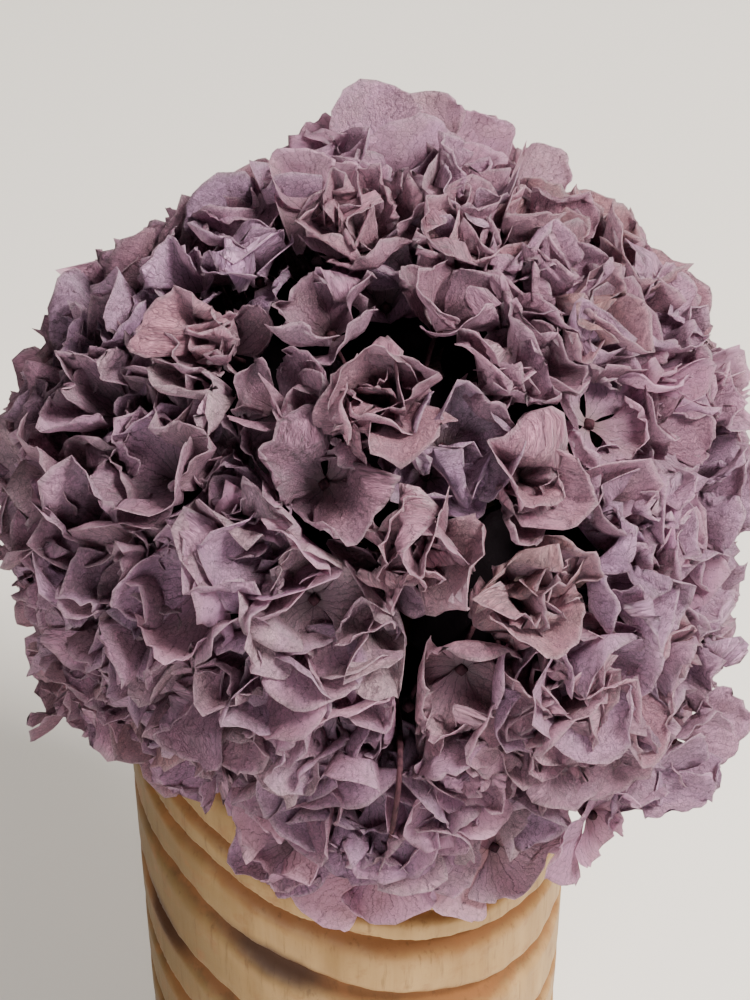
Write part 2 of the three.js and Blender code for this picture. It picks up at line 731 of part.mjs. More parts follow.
/** The cut stem with its knots, and the rays that arch from its fork to the heart of each cyme. */
function stemSolid() {
  const fork = HEAD_CENTRE.clone();
  fork.z -= FORK_DEPTH;
  const bend = STEM_FOOT.clone();
  bend.z += 0.6 * (fork.z - STEM_FOOT.z);
  const line = new THREE.QuadraticBezierCurve3(STEM_FOOT, bend, fork);
  const knot = (share, at) => 0.22 * Math.exp(-Math.pow((share - at) / 0.03, 2));
  const thickness = (share) => STEM_RADIUS * (1 - 0.12 * share + knot(share, 0.3) + knot(share, 0.7));
  const parts = [solidOf(taperedTube(line, 14, 7, thickness))];
  for (const { axis } of cymes) {
    const end = HEAD_CENTRE.clone().addScaledVector(axis, HEART_START - CLEARANCE);
    const beforeEnd = HEAD_CENTRE.clone().addScaledVector(axis, HEART_START - 18);
    const start = fork.clone();
    start.z -= 2;
    const rise = fork.clone();
    rise.z += 20;
    const ray = new THREE.CubicBezierCurve3(start, rise, beforeEnd, end);
    parts.push(solidOf(taperedTube(ray, RAY_STEPS, RAY_SIDES, (share) => RAY_RADIUS * (1.3 - 0.3 * share))));
  }
  return joined(parts);
}

// ---------------------------------------------------------------- the object

const wood = new THREE.MeshStandardMaterial({ color: 0xb99667, roughness: 0.65, metalness: 0 });
const bark = new THREE.MeshStandardMaterial({ color: 0x6d5a43, roughness: 0.85, metalness: 0 });
const sepal = new THREE.MeshStandardMaterial({ color: 0x94717f, roughness: 0.8, metalness: 0 });

const hydrangeaInJar = new THREE.Group();
hydrangeaInJar.add(meshOf(jarSolid(), "jar", wood));
hydrangeaInJar.add(meshOf(stemSolid(), "stem", bark));
for (const cyme of cymes) {
  hydrangeaInJar.add(meshOf(cymeSolid(cyme), `cyme_${cyme.name}`, sepal.clone()));
}

export default hydrangeaInJar;
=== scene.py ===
"""A dried hydrangea standing in a carved wooden jar, finished over its solid frame.

Sizes are worked out in millimetres, as the maker drew them, and put into the meshes in metres.
+Z is up, the jar's front faces -Y and its right side +X, and the origin is the middle of its foot.
"""

import logging
import math
from dataclasses import dataclass, field
from enum import Enum, IntEnum

import bpy
import numpy as np
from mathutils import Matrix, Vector


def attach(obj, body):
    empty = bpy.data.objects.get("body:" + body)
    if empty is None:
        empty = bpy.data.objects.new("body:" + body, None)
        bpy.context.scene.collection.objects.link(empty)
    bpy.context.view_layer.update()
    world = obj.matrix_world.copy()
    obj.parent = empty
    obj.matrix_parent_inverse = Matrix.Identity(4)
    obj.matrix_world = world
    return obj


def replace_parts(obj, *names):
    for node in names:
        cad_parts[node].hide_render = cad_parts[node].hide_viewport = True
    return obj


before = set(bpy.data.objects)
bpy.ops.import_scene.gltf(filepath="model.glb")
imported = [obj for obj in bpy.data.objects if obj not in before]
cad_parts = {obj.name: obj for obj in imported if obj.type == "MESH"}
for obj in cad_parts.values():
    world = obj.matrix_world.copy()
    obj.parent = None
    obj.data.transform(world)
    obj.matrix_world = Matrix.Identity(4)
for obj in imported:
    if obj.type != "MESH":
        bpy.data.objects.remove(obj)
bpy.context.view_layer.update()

log = logging.getLogger("hydrangea")
Array = np.ndarray
MM = 0.001
WAVE_STEP = 127.1  # of the wave that the draws come from, in radians from one whole number to the next
WAVE_START = 311.7
WAVE_HEIGHT = 43758.5453  # so high that its fraction shows no order
GOLDEN_SHARE = 3 - math.sqrt(5)  # share of half a turn between points that spread evenly over a ball


# ---------------------------------------------------------------- helpers


def draw(numbers: Array | float) -> Array | float:
    """A repeatable number from 0 to 1 for each whole number: the fraction of a large sine wave.

    Args:
        numbers: Whole numbers, one or an array of them.
    Returns:
        As many numbers from 0 to 1.
    """
    wave = np.sin(np.asarray(numbers, float) * WAVE_STEP + WAVE_START) * WAVE_HEIGHT
    return wave - np.floor(wave)


def unit(vectors: Array) -> Array:
    """The vectors of an array, each divided by its own length."""
    return vectors / np.linalg.norm(vectors, axis=-1, keepdims=True)


def eased(values: Array, low: float, high: float) -> Array:
    """A smooth step: 0 below low, 1 above high, and 3t^2 - 2t^3 of the share t between them."""
    share = np.clip((values - low) / (high - low), 0, 1)
    return share * share * (3 - 2 * share)


def pigment(red: int, green: int, blue: int) -> tuple[float, float, float, float]:
    """A colour as the eye names it, 0 to 255, as the linear colour that a shader takes.

    It follows the sRGB curve: a straight line near black, and a power of 2.4 above it.

    Args:
        red: Red, 0 to 255.
        green: Green, 0 to 255.
        blue: Blue, 0 to 255.
    Returns:
        The linear colour with full alpha.
    """
    shares = [channel / 255 for channel in (red, green, blue)]
    linear = [s / 12.92 if s <= 0.04045 else ((s + 0.055) / 1.055) ** 2.4 for s in shares]
    return (*linear, 1.0)


def sheet_quads(rows: int, columns: int, count: int = 1, closed: bool = False) -> Array:
    """Faces of several equal grids of points whose points follow each other row by row.

    Args:
        rows: Points along the first parameter.
        columns: Points along the second parameter.
        count: Number of grids.
        closed: Whether each row's last point joins its first.
    Returns:
        Four point numbers for every face.
    """
    across = columns if closed else columns - 1
    row, column = np.meshgrid(np.arange(rows - 1), np.arange(across), indexing="ij")
    near = row * columns + column
    far = row * columns + (column + 1) % columns
    quads = np.stack([near, far, far + columns, near + columns], -1).reshape(-1, 4)
    starts = np.arange(count) * rows * columns
    return (starts[:, None, None] + quads[None]).reshape(-1, 4)


def piece_of(
    name: str,
    points: Array,
    faces: list[Array],
    material: bpy.types.Material,
    uv: Array | None = None,
    marks: dict[str, Array] | None = None,
) -> bpy.types.Object:
    """A named piece of the object at the origin, with its finish, riding on the object's one body.

    Args:
        name: The piece's name.
        points: Its points in millimetres.
        faces: Arrays of point numbers, each array with its own number of corners a face.
        material: Its finish.
        uv: A place on the flat sheet for every point, for patterns that follow the surface.
        marks: Named numbers for every point, one each or a colour of four.
    Returns:
        The new object.
    """
    mesh = bpy.data.meshes.new(name)
    corners = [face for group in faces for face in group.tolist()]
    mesh.from_pydata((points.reshape(-1, 3) * MM).tolist(), [], corners)
    mesh.shade_smooth()
    for mark, values in (marks or {}).items():
        flat = np.ascontiguousarray(values, np.float32)
        kind, socket = ("FLOAT_COLOR", "color") if flat.ndim == 2 else ("FLOAT", "value")
        mesh.attributes.new(mark, kind, "POINT").data.foreach_set(socket, flat.ravel())
    if uv is not None:
        of_corner = np.zeros(len(mesh.loops), np.int32)
        mesh.loops.foreach_get("vertex_index", of_corner)
        layer = mesh.uv_layers.new(name="sheet")
        layer.data.foreach_set("uv", uv.reshape(-1, 2)[of_corner].astype(np.float32).ravel())
    mesh.materials.append(material)
    made = bpy.data.objects.new(name, mesh)
    bpy.context.scene.collection.objects.link(made)
    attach(made, "root")
    return made


def tubes(paths: Array, radii: Array, sides: int) -> tuple[Array, list[Array]]:
    """Round tubes of changing thickness along paths, closed at both ends by flat caps.

    Each ring is the path's point plus radius * (side cos a + up sin a), where side is the path's
    own direction crossed with a fixed one, and up completes the frame.

    Args:
        paths: Points of every path, as (paths, steps, 3).
        radii: Radius at every point, as (paths, steps), or one that broadcasts to it.
        sides: Points round each ring.
    Returns:
        The points, and the faces in arrays of equal corners.
    """
    count, steps = paths.shape[:2]
    along = unit(np.gradient(paths, axis=1))
    overall = unit(paths[:, -1] - paths[:, 0])
    fixed = np.eye(3)[np.argmin(np.abs(overall), axis=1)]
    side = unit(np.cross(along, fixed[:, None, :]))
    up = np.cross(along, side)
    angle = np.linspace(0, 2 * np.pi, sides, endpoint=False)
    ring = side[:, :, None] * np.cos(angle)[:, None] + up[:, :, None] * np.sin(angle)[:, None]
    radius = np.broadcast_to(radii, (count, steps))[..., None, None]
    points = (paths[:, :, None] + radius * ring).reshape(-1, 3)
    starts = (np.arange(count) * steps * sides)[:, None]
    first = starts + np.arange(sides)[::-1]
    last = starts + (steps - 1) * sides + np.arange(sides)
    return points, [sheet_quads(steps, sides, count, closed=True), first, last]


def through(stops: Array, steps: int) -> Array:
    """Smooth paths through rows of four stops each, as cubic Bezier curves.

    Args:
        stops: The four stops of every path, as (paths, 4, 3).
        steps: Points along each path.
    Returns:
        The paths' points, as (paths, steps, 3).
    """
    t = np.linspace(0, 1, steps)
    weights = np.stack([(1 - t) ** 3, 3 * t * (1 - t) ** 2, 3 * t * t * (1 - t), t**3], -1)
    return np.einsum("sk,pkc->psc", weights, stops)


# ---------------------------------------------------------------- shader maths


class Wire:
    """A number that runs through a material's nodes, on which Python's operators work."""

    def __init__(self, tree: bpy.types.NodeTree, socket: bpy.types.NodeSocket) -> None:
        """Wraps an output socket of a node tree."""
        self.tree = tree
        self.socket = socket

    def maths(self, operation: str, *others: "Wire | float", swapped: bool = False) -> "Wire":
        """Adds one Math node.

        Args:
            operation: The Math node's operation.
            others: Its other values.
            swapped: Whether this value comes second.
        Returns:
            The node's result.
        """
        node = self.tree.nodes.new("ShaderNodeMath")
        node.operation = operation
        values = [self, *others]
        if swapped:
            values.reverse()
        for socket, value in zip(node.inputs, values):
            if isinstance(value, Wire):
                self.tree.links.new(value.socket, socket)
            else:
                socket.default_value = value
        return Wire(self.tree, node.outputs[0])

    def __add__(self, other: "Wire | float") -> "Wire":
        """The sum."""
        return self.maths("ADD", other)

    __radd__ = __add__

    def __mul__(self, other: "Wire | float") -> "Wire":
        """The product."""
        return self.maths("MULTIPLY", other)

    __rmul__ = __mul__

    def __sub__(self, other: "Wire | float") -> "Wire":
        """The difference."""
        return self.maths("SUBTRACT", other)

    def __rsub__(self, other: float) -> "Wire":
        """The difference from a number."""
        return self.maths("SUBTRACT", other, swapped=True)

    def __truediv__(self, other: "Wire | float") -> "Wire":
        """The quotient."""
        return self.maths("DIVIDE", other)

    def __pow__(self, power: float) -> "Wire":
        """The power."""
        return self.maths("POWER", power)

    def between(self, low: float, high: float) -> "Wire":
        """A smooth step from 0 at low to 1 at high; low may be the larger of the two."""
        node = self.tree.nodes.new("ShaderNodeMapRange")
        node.interpolation_type = "SMOOTHSTEP"
        node.inputs["From Min"].default_value = low
        node.inputs["From Max"].default_value = high
        self.tree.links.new(self.socket, node.inputs["Value"])
        return Wire(self.tree, node.outputs[0])


class Workshop:
    """A material's node tree, with one method that adds any node."""

    def __init__(self, name: str) -> None:
        """Starts an empty material.

        Args:
            name: The material's name.
        """
        self.material = bpy.data.materials.new(name)
        self.material.use_nodes = True
        self.tree = self.material.node_tree
        self.tree.nodes.clear()

    def node(self, kind: str, settings: dict | None = None, sockets: dict | None = None) -> bpy.types.Node:
        """Adds a node.

        Args:
            kind: The node's type.
            settings: Its own settings; stops are a colour ramp's places and colours.
            sockets: Values, wires or output sockets for its inputs, by identifier or name.
        Returns:
            The node.
        """
        made = self.tree.nodes.new(kind)
        for setting, value in (settings or {}).items():
            if setting == "stops":
                elements = made.color_ramp.elements
                while len(elements) < len(value):
                    elements.new(0.5)
                for element, (place, colour) in zip(elements, value):
                    element.position = place
                    element.color = colour
            else:
                setattr(made, setting, value)
        by_name = {socket.name: socket for socket in reversed(made.inputs)}
        by_name.update({socket.identifier: socket for socket in made.inputs})
        for name, value in (sockets or {}).items():
            link = value.socket if isinstance(value, Wire) else value
            if isinstance(link, bpy.types.NodeSocket):
                self.tree.links.new(link, by_name[name])
            else:
                by_name[name].default_value = value
        return made

    def wire(self, socket: bpy.types.NodeSocket) -> Wire:
        """An output socket as a value that operators work on."""
        return Wire(self.tree, socket)

    def mark(self, name: str) -> bpy.types.Node:
        """The piece's own named numbers."""
        return self.node("ShaderNodeAttribute", {"attribute_name": name})

    def noise(
        self, place: bpy.types.NodeSocket, scale: float, detail: float = 3.0, rough: float = 0.5
    ) -> Wire:
        """Cloudy noise from 0 to 1.

        Args:
            place: Where it is read.
            scale: Its clouds per unit.
            detail: How many finer layers it has.
            rough: How strong the finer layers are.
        Returns:
            The noise.
        """
        sockets = {"Vector": place, "Scale": scale, "Detail": detail, "Roughness": rough}
        return self.wire(self.node("ShaderNodeTexNoise", None, sockets).outputs["Fac"])

    def blended(
        self, share: "Wire | float", below: object, above: object, blend: str = "MIX"
    ) -> bpy.types.NodeSocket:
        """Two colours laid over each other.

        Args:
            share: How much of the upper one shows.
            below: The lower colour, a value or a socket.
            above: The upper colour, a value or a socket.
            blend: The Mix node's blend type.
        Returns:
            The blended colour.
        """
        settings = {"data_type": "RGBA", "blend_type": blend}
        sockets = {"Factor_Float": share, "A_Color": below, "B_Color": above}
        outputs = self.node("ShaderNodeMix", settings, sockets).outputs
        return next(socket for socket in outputs if socket.identifier == "Result_Color")

    def finish(self, shader: bpy.types.Node) -> bpy.types.Material:
        """Ends the tree in the given shader and hands over the material."""
        self.node("ShaderNodeOutputMaterial", None, {"Surface": shader.outputs[0]})
        return self.material


# ---------------------------------------------------------------- finishes

SEPAL_WIDTH_MM = 32.0  # of the flat square that a sepal's own map covers
SEPAL_ROOT_MM = 3.0  # from the map's lower edge to where the veins meet


@dataclass(frozen=True)
class SepalFinish:
    """Papery dried sepals: a dusty colour, branching dark veins with a net between, and a pale edge that is
    partly dry and partly a painted highlight.
    """

    violet: tuple = (162, 116, 162)
    lilac: tuple = (200, 156, 189)
    mauve: tuple = (184, 129, 154)
    rosy: tuple = (188, 130, 145)
    brown: tuple = (176, 126, 122)
    faded: tuple = (214, 184, 186)
    # Dark root of the sepal: partly its own brown, partly painted shade where the sepals meet in the
    # floret's middle.
    claw: tuple = (84, 52, 52)
    star: tuple = (206, 178, 168)
    vein: tuple = (92, 54, 70)
    # Pale edge: partly the dry margin's own colour, partly a painted highlight where the edges catch the
    # light.
    rim: tuple = (220, 192, 198)
    glow: tuple = (0.88, 0.66, 0.76, 1.0)
    fading_share: float = 0.85
    claw_and_root_shade_share: float = 0.75
    dry_edge_and_highlight_share: float = 0.42
    vein_share: float = 0.72
    translucence: float = 0.36
    roughness: float = 0.72
    relief_m: float = 0.0009

    def material(self) -> bpy.types.Material:
        """Builds the finish on the flat sepal's own map, which gives millimetres from its root.

        The piece's tone mark gives each sepal's hue, light, age and how pale its claw is. Its seed
        shifts the patterns, and its margin is 1 on the edge.
        """
        shop = Workshop("dried_sepal")
        flat = shop.node("ShaderNodeUVMap", {"uv_map": "sheet"}).outputs["UV"]
        tone = shop.node("ShaderNodeSeparateColor", None, {"Color": shop.mark("tone").outputs["Color"]})
        hue, light, age = (shop.wire(tone.outputs[i]) for i in range(3))
        pale_claw = shop.wire(shop.mark("tone").outputs["Alpha"])
        seed = shop.wire(shop.mark("seed").outputs["Fac"])
        margin = shop.wire(shop.mark("margin").outputs["Fac"])
        split = shop.node("ShaderNodeSeparateXYZ", None, {"Vector": flat})
        aside = (shop.wire(split.outputs["X"]) - 0.5) * SEPAL_WIDTH_MM
        along = shop.wire(split.outputs["Y"]) * SEPAL_WIDTH_MM
        place = shop.node("ShaderNodeCombineXYZ", None, {"X": aside, "Y": along, "Z": seed * 90}).outputs[0]

        clouds = shop.noise(place, 0.11, 4, 0.6)
        wobble = shop.noise(place, 0.2, 5, 0.66) - 0.5
        angle = aside.maths("ARCTAN2", along + SEPAL_ROOT_MM) + wobble * 0.42
        reach = (aside * aside + (along + SEPAL_ROOT_MM) * (along + SEPAL_ROOT_MM)) ** 0.5

        def fan(per_radian: float, from_mm: float, width: float) -> Wire:
            """Veins that run out from the root, so many to the radian, from a distance on."""
            near = ((angle * per_radian + 40.5).maths("FRACT") - 0.5).maths("ABSOLUTE")
            line = (near * reach / per_radian).between(width, 0.3 * width)
            return line * reach.between(from_mm, from_mm + 5)

        sockets = {"Vector": place, "Scale": 0.62, "Randomness": 1.0}
        cells = shop.node("ShaderNodeTexVoronoi", {"feature": "DISTANCE_TO_EDGE"}, sockets)
        net = shop.wire(cells.outputs["Distance"]).between(0.09, 0.01)
        patchy = (clouds * 1.6 - 0.3).between(0.1, 0.8)
        veins = fan(2.6, 0, 0.2).maths("MAXIMUM", fan(5.2, 5, 0.17) * 0.85)
        veins = veins.maths("MAXIMUM", fan(10.4, 9, 0.15) * 0.75).maths("MAXIMUM", net * 0.7 * patchy)
        sockets = {"X": angle * 13, "Y": reach * 0.16, "Z": seed * 70}
        spread = shop.node("ShaderNodeCombineXYZ", None, sockets).outputs[0]
        fibres = shop.noise(spread, 1.6, 5, 0.7) - 0.5

        stops = [
            (0.0, pigment(*self.violet)),
            (0.25, pigment(*self.lilac)),
            (0.55, pigment(*self.mauve)),
            (0.8, pigment(*self.rosy)),
            (1.0, pigment(*self.brown)),
        ]
        ramp = shop.node("ShaderNodeValToRGB", {"stops": stops}, {"Fac": hue + (clouds - 0.5) * 0.35})
        colour = ramp.outputs["Color"]
        fading = (age * 1.3 + (clouds - 0.5) * 1.2 - 0.25).between(0, 1)
        colour = shop.blended(fading * self.fading_share, colour, pigment(*self.faded))
        mottle = shop.noise(place, 0.8, 5, 0.72) - 0.5
        grain = shop.noise(place, 2.2, 3, 0.75) - 0.5
        shade = 0.46 + light * 0.9 + mottle * 1.3 + grain * 2.3 + fibres * 2.2
        grey = shop.node("ShaderNodeCombineColor", None, {"Red": shade, "Green": shade, "Blue": shade})
        colour = shop.blended(1.0, colour, grey.outputs[0], "MULTIPLY")
        # Darker towards the root: the claw's own brown with painted shade at the floret's middle; star claws
        # are pale instead.
        claw = shop.blended(pale_claw, pigment(*self.claw), pigment(*self.star))
        colour = shop.blended(reach.between(12, 3) * self.claw_and_root_shade_share, colour, claw)
        # Paler along the edge: the dry margin with a painted highlight.
        colour = shop.blended(margin.between(0.95, 1.0) * self.dry_edge_and_highlight_share, colour, pigment(*self.rim))
        colour = shop.blended(veins * self.vein_share, colour, pigment(*self.vein))

        crumple = shop.noise(place, 0.42, 6, 0.7)
        height = veins * -0.6 + crumple * 2.3 + fibres * 2.6 + grain * 1.5
        relief = {"Strength": 1.0, "Distance": self.relief_m, "Height": height}
        bump = shop.node("ShaderNodeBump", None, relief)
        sockets = {
            "Base Color": colour,
            "Roughness": self.roughness,
            "Specular IOR Level": 0.25,
            "Sheen Weight": 0.2,
            "Sheen Roughness": 0.45,
            "Sheen Tint": (0.95, 0.86, 0.9, 1.0),
            "Normal": bump.outputs["Normal"],
        }
        paper = shop.node("ShaderNodeBsdfPrincipled", None, sockets)
        glow = shop.node("ShaderNodeBsdfTranslucent", None, {"Color": self.glow})
        through_it = (1 - veins * 0.6) * (light.between(0.75, 1.05) * 0.3 + self.translucence)
        sockets = {"Fac": through_it, "Shader": paper.outputs[0], "Shader_001": glow.outputs[0]}
        return shop.finish(shop.node("ShaderNodeMixShader", None, sockets))


@dataclass(frozen=True)
class WoodFinish:
    """Pale turned wood with long grain, mottling and dark scorched patches, painted shade in the cut
    valleys, and painted shade on its left side, which is partly browner wood.
    """

    ridge: tuple = (136, 103, 60)
    pale: tuple = (174, 140, 92)
    # Olive brown of the jar's left side: painted shade where the light from the right falls off, over wood
    # that is a little browner there.
    patina: tuple = (102, 80, 46)
    # Brown of the painted shade in the cut valleys, and of the dark grain lines.
    valley: tuple = (74, 48, 26)
    orange: tuple = (122, 78, 42)
    scorched: tuple = (56, 32, 16)
    relief_m: float = 0.0006

    def material(self) -> bpy.types.Material:
        """Builds the finish from object coordinates and the jar's marks for groove, scorch, rust, and the
        painted shade of its left side over browner wood.
        """
        shop = Workshop("carved_wood")
        place = shop.node("ShaderNodeTexCoord").outputs["Object"]
        groove = shop.wire(shop.mark("groove").outputs["Fac"])
        scorch = shop.wire(shop.mark("scorch").outputs["Fac"])
        rust = shop.wire(shop.mark("rust").outputs["Fac"])
        patina = shop.wire(shop.mark("patina").outputs["Fac"])
        tall = shop.node("ShaderNodeMapping", None, {"Vector": place, "Scale": (1, 1, 0.09)}).outputs[0]
        fibres = shop.noise(tall, 520, 6, 0.65)
        streaks = shop.noise(tall, 90, 4, 0.6)
        clouds = shop.noise(place, 28, 4, 0.6)
        fine = shop.noise(place, 900, 3)
        blotches = shop.noise(place, 120, 4, 0.65)
        # Painted shade in the cut valleys, where the grooves lie in shadow; the same mask makes them rougher
        # and lower.
        deep = (groove * 1.15 + (clouds - 0.5) * 0.7).between(0.05, 0.85)
        paleness = (streaks * 1.5 - 0.25).between(0, 1)
        colour = shop.blended(paleness, pigment(*self.ridge), pigment(*self.pale))
        layers = (
            # Painted shade on the left side, over slightly browner wood.
            ((patina + (clouds - 0.5) * 0.5).between(0.1, 1.1), self.patina),
            (deep * 0.92, self.valley),
            ((rust * (0.35 + clouds * 1.2)).between(0.15, 0.9) * 0.8, self.orange),
            ((blotches + groove * 0.3).between(0.5, 0.72) * 0.55, self.orange),
            (fibres.between(0.54, 0.7) * 0.42, self.valley),
            ((scorch * (0.5 + clouds)).between(0.25, 0.8) * 0.92, self.scorched),
        )
        for share, paint in layers:
            colour = shop.blended(share, colour, pigment(*paint))
        height = fibres * 0.5 + streaks * 0.8 + fine * 0.15 - deep * 0.3
        relief = {"Strength": 0.45, "Distance": self.relief_m, "Height": height}
        bump = shop.node("ShaderNodeBump", None, relief)
        rough = 0.5 + deep * 0.2 + (fibres - 0.5) * 0.15
        sockets = {
            "Base Color": colour,
            "Roughness": rough,
            "Specular IOR Level": 0.2,
            "Normal": bump.outputs["Normal"],
        }
        return shop.finish(shop.node("ShaderNodeBsdfPrincipled", None, sockets))


@dataclass(frozen=True)
class BarkFinish:
    """Dry stem and stalks: brown bark or skin, streaked along the fibres."""

    name: str
    dark: tuple
    light: tuple
    scale: float
    shaded: tuple = (12, 6, 9)
    relief_m: float = 0.0005

    def material(self) -> bpy.types.Material:
        """Builds the finish from object coordinates; where the piece is marked with painted shade, on the
        heart's dome, it is near black.
        """
        shop = Workshop(self.name)
        place = shop.node("ShaderNodeTexCoord").outputs["Object"]
        tall = shop.node("ShaderNodeMapping", None, {"Vector": place, "Scale": (1, 1, 0.2)}).outputs[0]
        streaks = shop.noise(tall, self.scale, 5, 0.6)
        specks = shop.noise(place, 2.5 * self.scale, 2)
        share = (streaks + specks * 0.4 - 0.2).between(0.25, 0.75)
        colour = shop.blended(share, pigment(*self.dark), pigment(*self.light))
        # Painted shade: the marked dome is made near black.
        deep = shop.wire(shop.mark("deep").outputs["Fac"])
        colour = shop.blended(deep, colour, pigment(*self.shaded))
        height = streaks + specks * 0.3
        relief = {"Strength": 0.6, "Distance": self.relief_m, "Height": height}
        bump = shop.node("ShaderNodeBump", None, relief)
        rough = 0.7 + (specks - 0.5) * 0.3
        sockets = {
            "Base Color": colour,
            "Roughness": rough,
            "Specular IOR Level": 0.05,
            "Normal": bump.outputs["Normal"],
        }
        return shop.finish(shop.node("ShaderNodeBsdfPrincipled", None, sockets))


# ---------------------------------------------------------------- the jar


@dataclass
class Jar:
    """The turned and carved jar: slanting rounded bands with narrow valleys, a bore and a flat foot."""

    height: float = 180
    radius: float = 64.5
    bore: float = 54
    floor: float = 12
    rounding: float = 3
    wall_foot: float = 2.2
    wall_top: float = 2.4
    foot_turn: float = 2.2
    lip_turn: float = 1.6
    first_valley: float = 24
    bands: tuple = (14, 18, 17, 13, 25, 33, 22, 26, 22, 25, 24)
    tilt: float = 28
    low_side: float = math.radians(62)
    wander: float = 1.4
    valley_depth: float = 3.6
    crest: float = 1.1
    # Middle and width in degrees of the painted shade on the left side, over browner wood.
    painted_shade_side: float = -62
    painted_shade_width: float = 48
    scorch_reach: float = 0.33
    columns: int = 264
    rows: int = 190
    bore_rows: int = 24

    # Scorched patches: the valley from the top, the degrees from the front, and the width in degrees
    SCORCHES = (
        (5, -22, 19),
        (6, -62, 14),
        (4, 150, 20),
        (7, 30, 16),
        (7, -130, 18),
        (3, -84, 7),
        (5, 110, 12),
    )
    RUSTY_BANDS = (3, 4)  # the bands that are mottled at the front

    def valley_heights(self, angle: Array) -> Array:
        """Heights of the valleys: each middle height, less tilt * cos(angle - low side), plus a wander.

        Args:
            angle: Angles from the front towards the right.
        Returns:
            A height for every valley and angle, from the top valley down.
        """
        middle = self.height + self.first_valley - np.concatenate([[0], np.cumsum(self.bands)])
        number = np.arange(len(middle))[:, None]
        slant = self.tilt * np.cos(angle - self.low_side)
        return middle[:, None] - slant + self.wander * np.sin(2 * angle + 1.7 * number)

    def band_place(self, angle: Array, z: Array) -> tuple[Array, Array]:
        """The band that each point of the wall lies in, and its share of the way down it.

        Args:
            angle: Angle of every point.
            z: Height of every point.
        Returns:
            The number of the valley above each point, and the share from that valley to the next.
        """
        heights = self.valley_heights(angle.ravel())
        level = z.ravel()
        above = np.clip((heights > level).sum(0) - 1, 0, len(heights) - 2)
        column = np.arange(level.size)
        top, bottom = heights[above, column], heights[above + 1, column]
        share = np.clip((top - level) / (top - bottom), 0, 1)
        return above.reshape(z.shape), share.reshape(z.shape)

    def wall(self, angle: Array, z: Array) -> tuple[Array, dict[str, Array]]:
        """The carved wall.

        Its radius is the jar's, less the valley's depth times a share that is 1 in the valley and
        falls off steeply below it and gently above the next, plus fine waves of the carver's tool.
        It draws in with the square of the way into the roundings at the foot and the lip.

        Args:
            angle: Angle of every point.
            z: Height of every point.
        Returns:
            The radius of every point, and the marks for groove, scorch, rust, and the painted shade of the
            left side over browner wood.
        """
        band, share = self.band_place(angle, z)
        groove = np.maximum((1 - eased(share, 0.0, 0.3)) ** 1.5, eased(share, 0.74, 1.0) ** 2.0)
        crest = self.crest * np.sin(np.pi * share) ** 0.8
        tool = 0.22 * np.sin(19 * angle + 3.1 * band + 0.35 * z) + 0.16 * np.sin(47 * angle - 2.3 * band)
        lump = 0.35 * np.sin(3 * angle + 0.06 * z + band) + 0.25 * np.sin(7 * angle - 0.11 * z)
        depth = self.valley_depth * groove - crest - (tool + lump) * (1 - 0.6 * groove) + 0.6
        foot = np.clip((self.rounding + 1 - z) / self.rounding, 0, 1)
        lip = np.clip((z - self.height + self.rounding + 1) / self.rounding, 0, 1)
        drawn_in = self.foot_turn * foot**2 + self.lip_turn * lip**2
        marks = {
            "groove": groove,
            "scorch": self.scorch(angle, band, share),
            "rust": self.rust(angle, band, share),
            # Painted shade on the left side, where the wood is a little browner too.
            "patina": self.bell(angle, self.painted_shade_side, self.painted_shade_width),
        }
        return self.radius - np.maximum(depth, -0.25) - drawn_in, marks

    def plain_profiles(self) -> tuple[Array, Array]:
        """The smooth parts of the jar's profile, as the radius and height of each point.

        Returns:
            The foot's part, outwards, and the part from the lip down the bore and inwards on its floor.
        """
        edge = self.radius - self.rounding
        low, high = self.floor, self.height
        foot = [(20, 0), (44, 0), (edge - 3, 0), (edge - 0.8, 0.5)]
        lip = [(edge - 0.2, high - 0.6), (edge - 1.6, high)]
        mouth = [(self.bore + 2.6, high), (self.bore + 0.8, high - 0.8)]
        inside = [(self.bore, level) for level in np.linspace(high - 3, low + 6, self.bore_rows)]
        bottom = [(self.bore - 2, low + 2), (self.bore - 6, low), (25, low)]
        return np.array(foot, float), np.array(lip + mouth + inside + bottom, float)

    def mesh_parts(self) -> tuple[Array, list[Array], dict[str, Array]]:
        """The whole surface as one profile carried round: foot, wall, lip, bore and floor.

        Returns:
            The points, the faces, and the marks for groove, scorch, rust, and the painted shade of the left
            side over browner wood.
        """
        turn = np.linspace(0, 2 * np.pi, self.columns, endpoint=False)
        wall_z = np.linspace(self.wall_foot, self.height - self.wall_top, self.rows)
        angle, z = np.meshgrid(turn, wall_z)
        wall_radius, marks = self.wall(angle, z)
        foot, inside = (np.repeat(part[..., None], self.columns, 2) for part in self.plain_profiles())
        radius = np.concatenate([foot[:, 0], wall_radius, inside[:, 0]])
        height = np.concatenate([foot[:, 1], z, inside[:, 1]])
        rings = np.stack([radius * np.sin(turn), -radius * np.cos(turn), height], -1)
        poles = [[0, 0, 0], [0, 0, self.floor]]
        points = np.concatenate([rings.reshape(-1, 3), poles])
        ring = np.arange(self.columns)
        after = (ring + 1) % self.columns
        pole = rings.shape[0] * self.columns
        last = pole - self.columns
        foot_cap = np.stack([after, ring, np.full_like(ring, pole)], -1)
        floor_cap = np.stack([last + ring, last + after, np.full_like(ring, pole + 1)], -1)
        faces = [sheet_quads(rings.shape[0], self.columns, closed=True), foot_cap, floor_cap]
        lead, tail = np.zeros(foot[:, 0].size), np.zeros(inside[:, 0].size + len(poles))
        whole = {name: np.concatenate([lead, mark.ravel(), tail]) for name, mark in marks.items()}
        return points, faces, whole

    @staticmethod
    def bell(angle: Array, middle: float, width: float) -> Array:
        """A bell round the jar: e to the minus square of the degrees from its middle over its width."""
        apart = (np.degrees(angle) - middle + 180) % 360 - 180
        return np.exp(-((apart / width) ** 2))

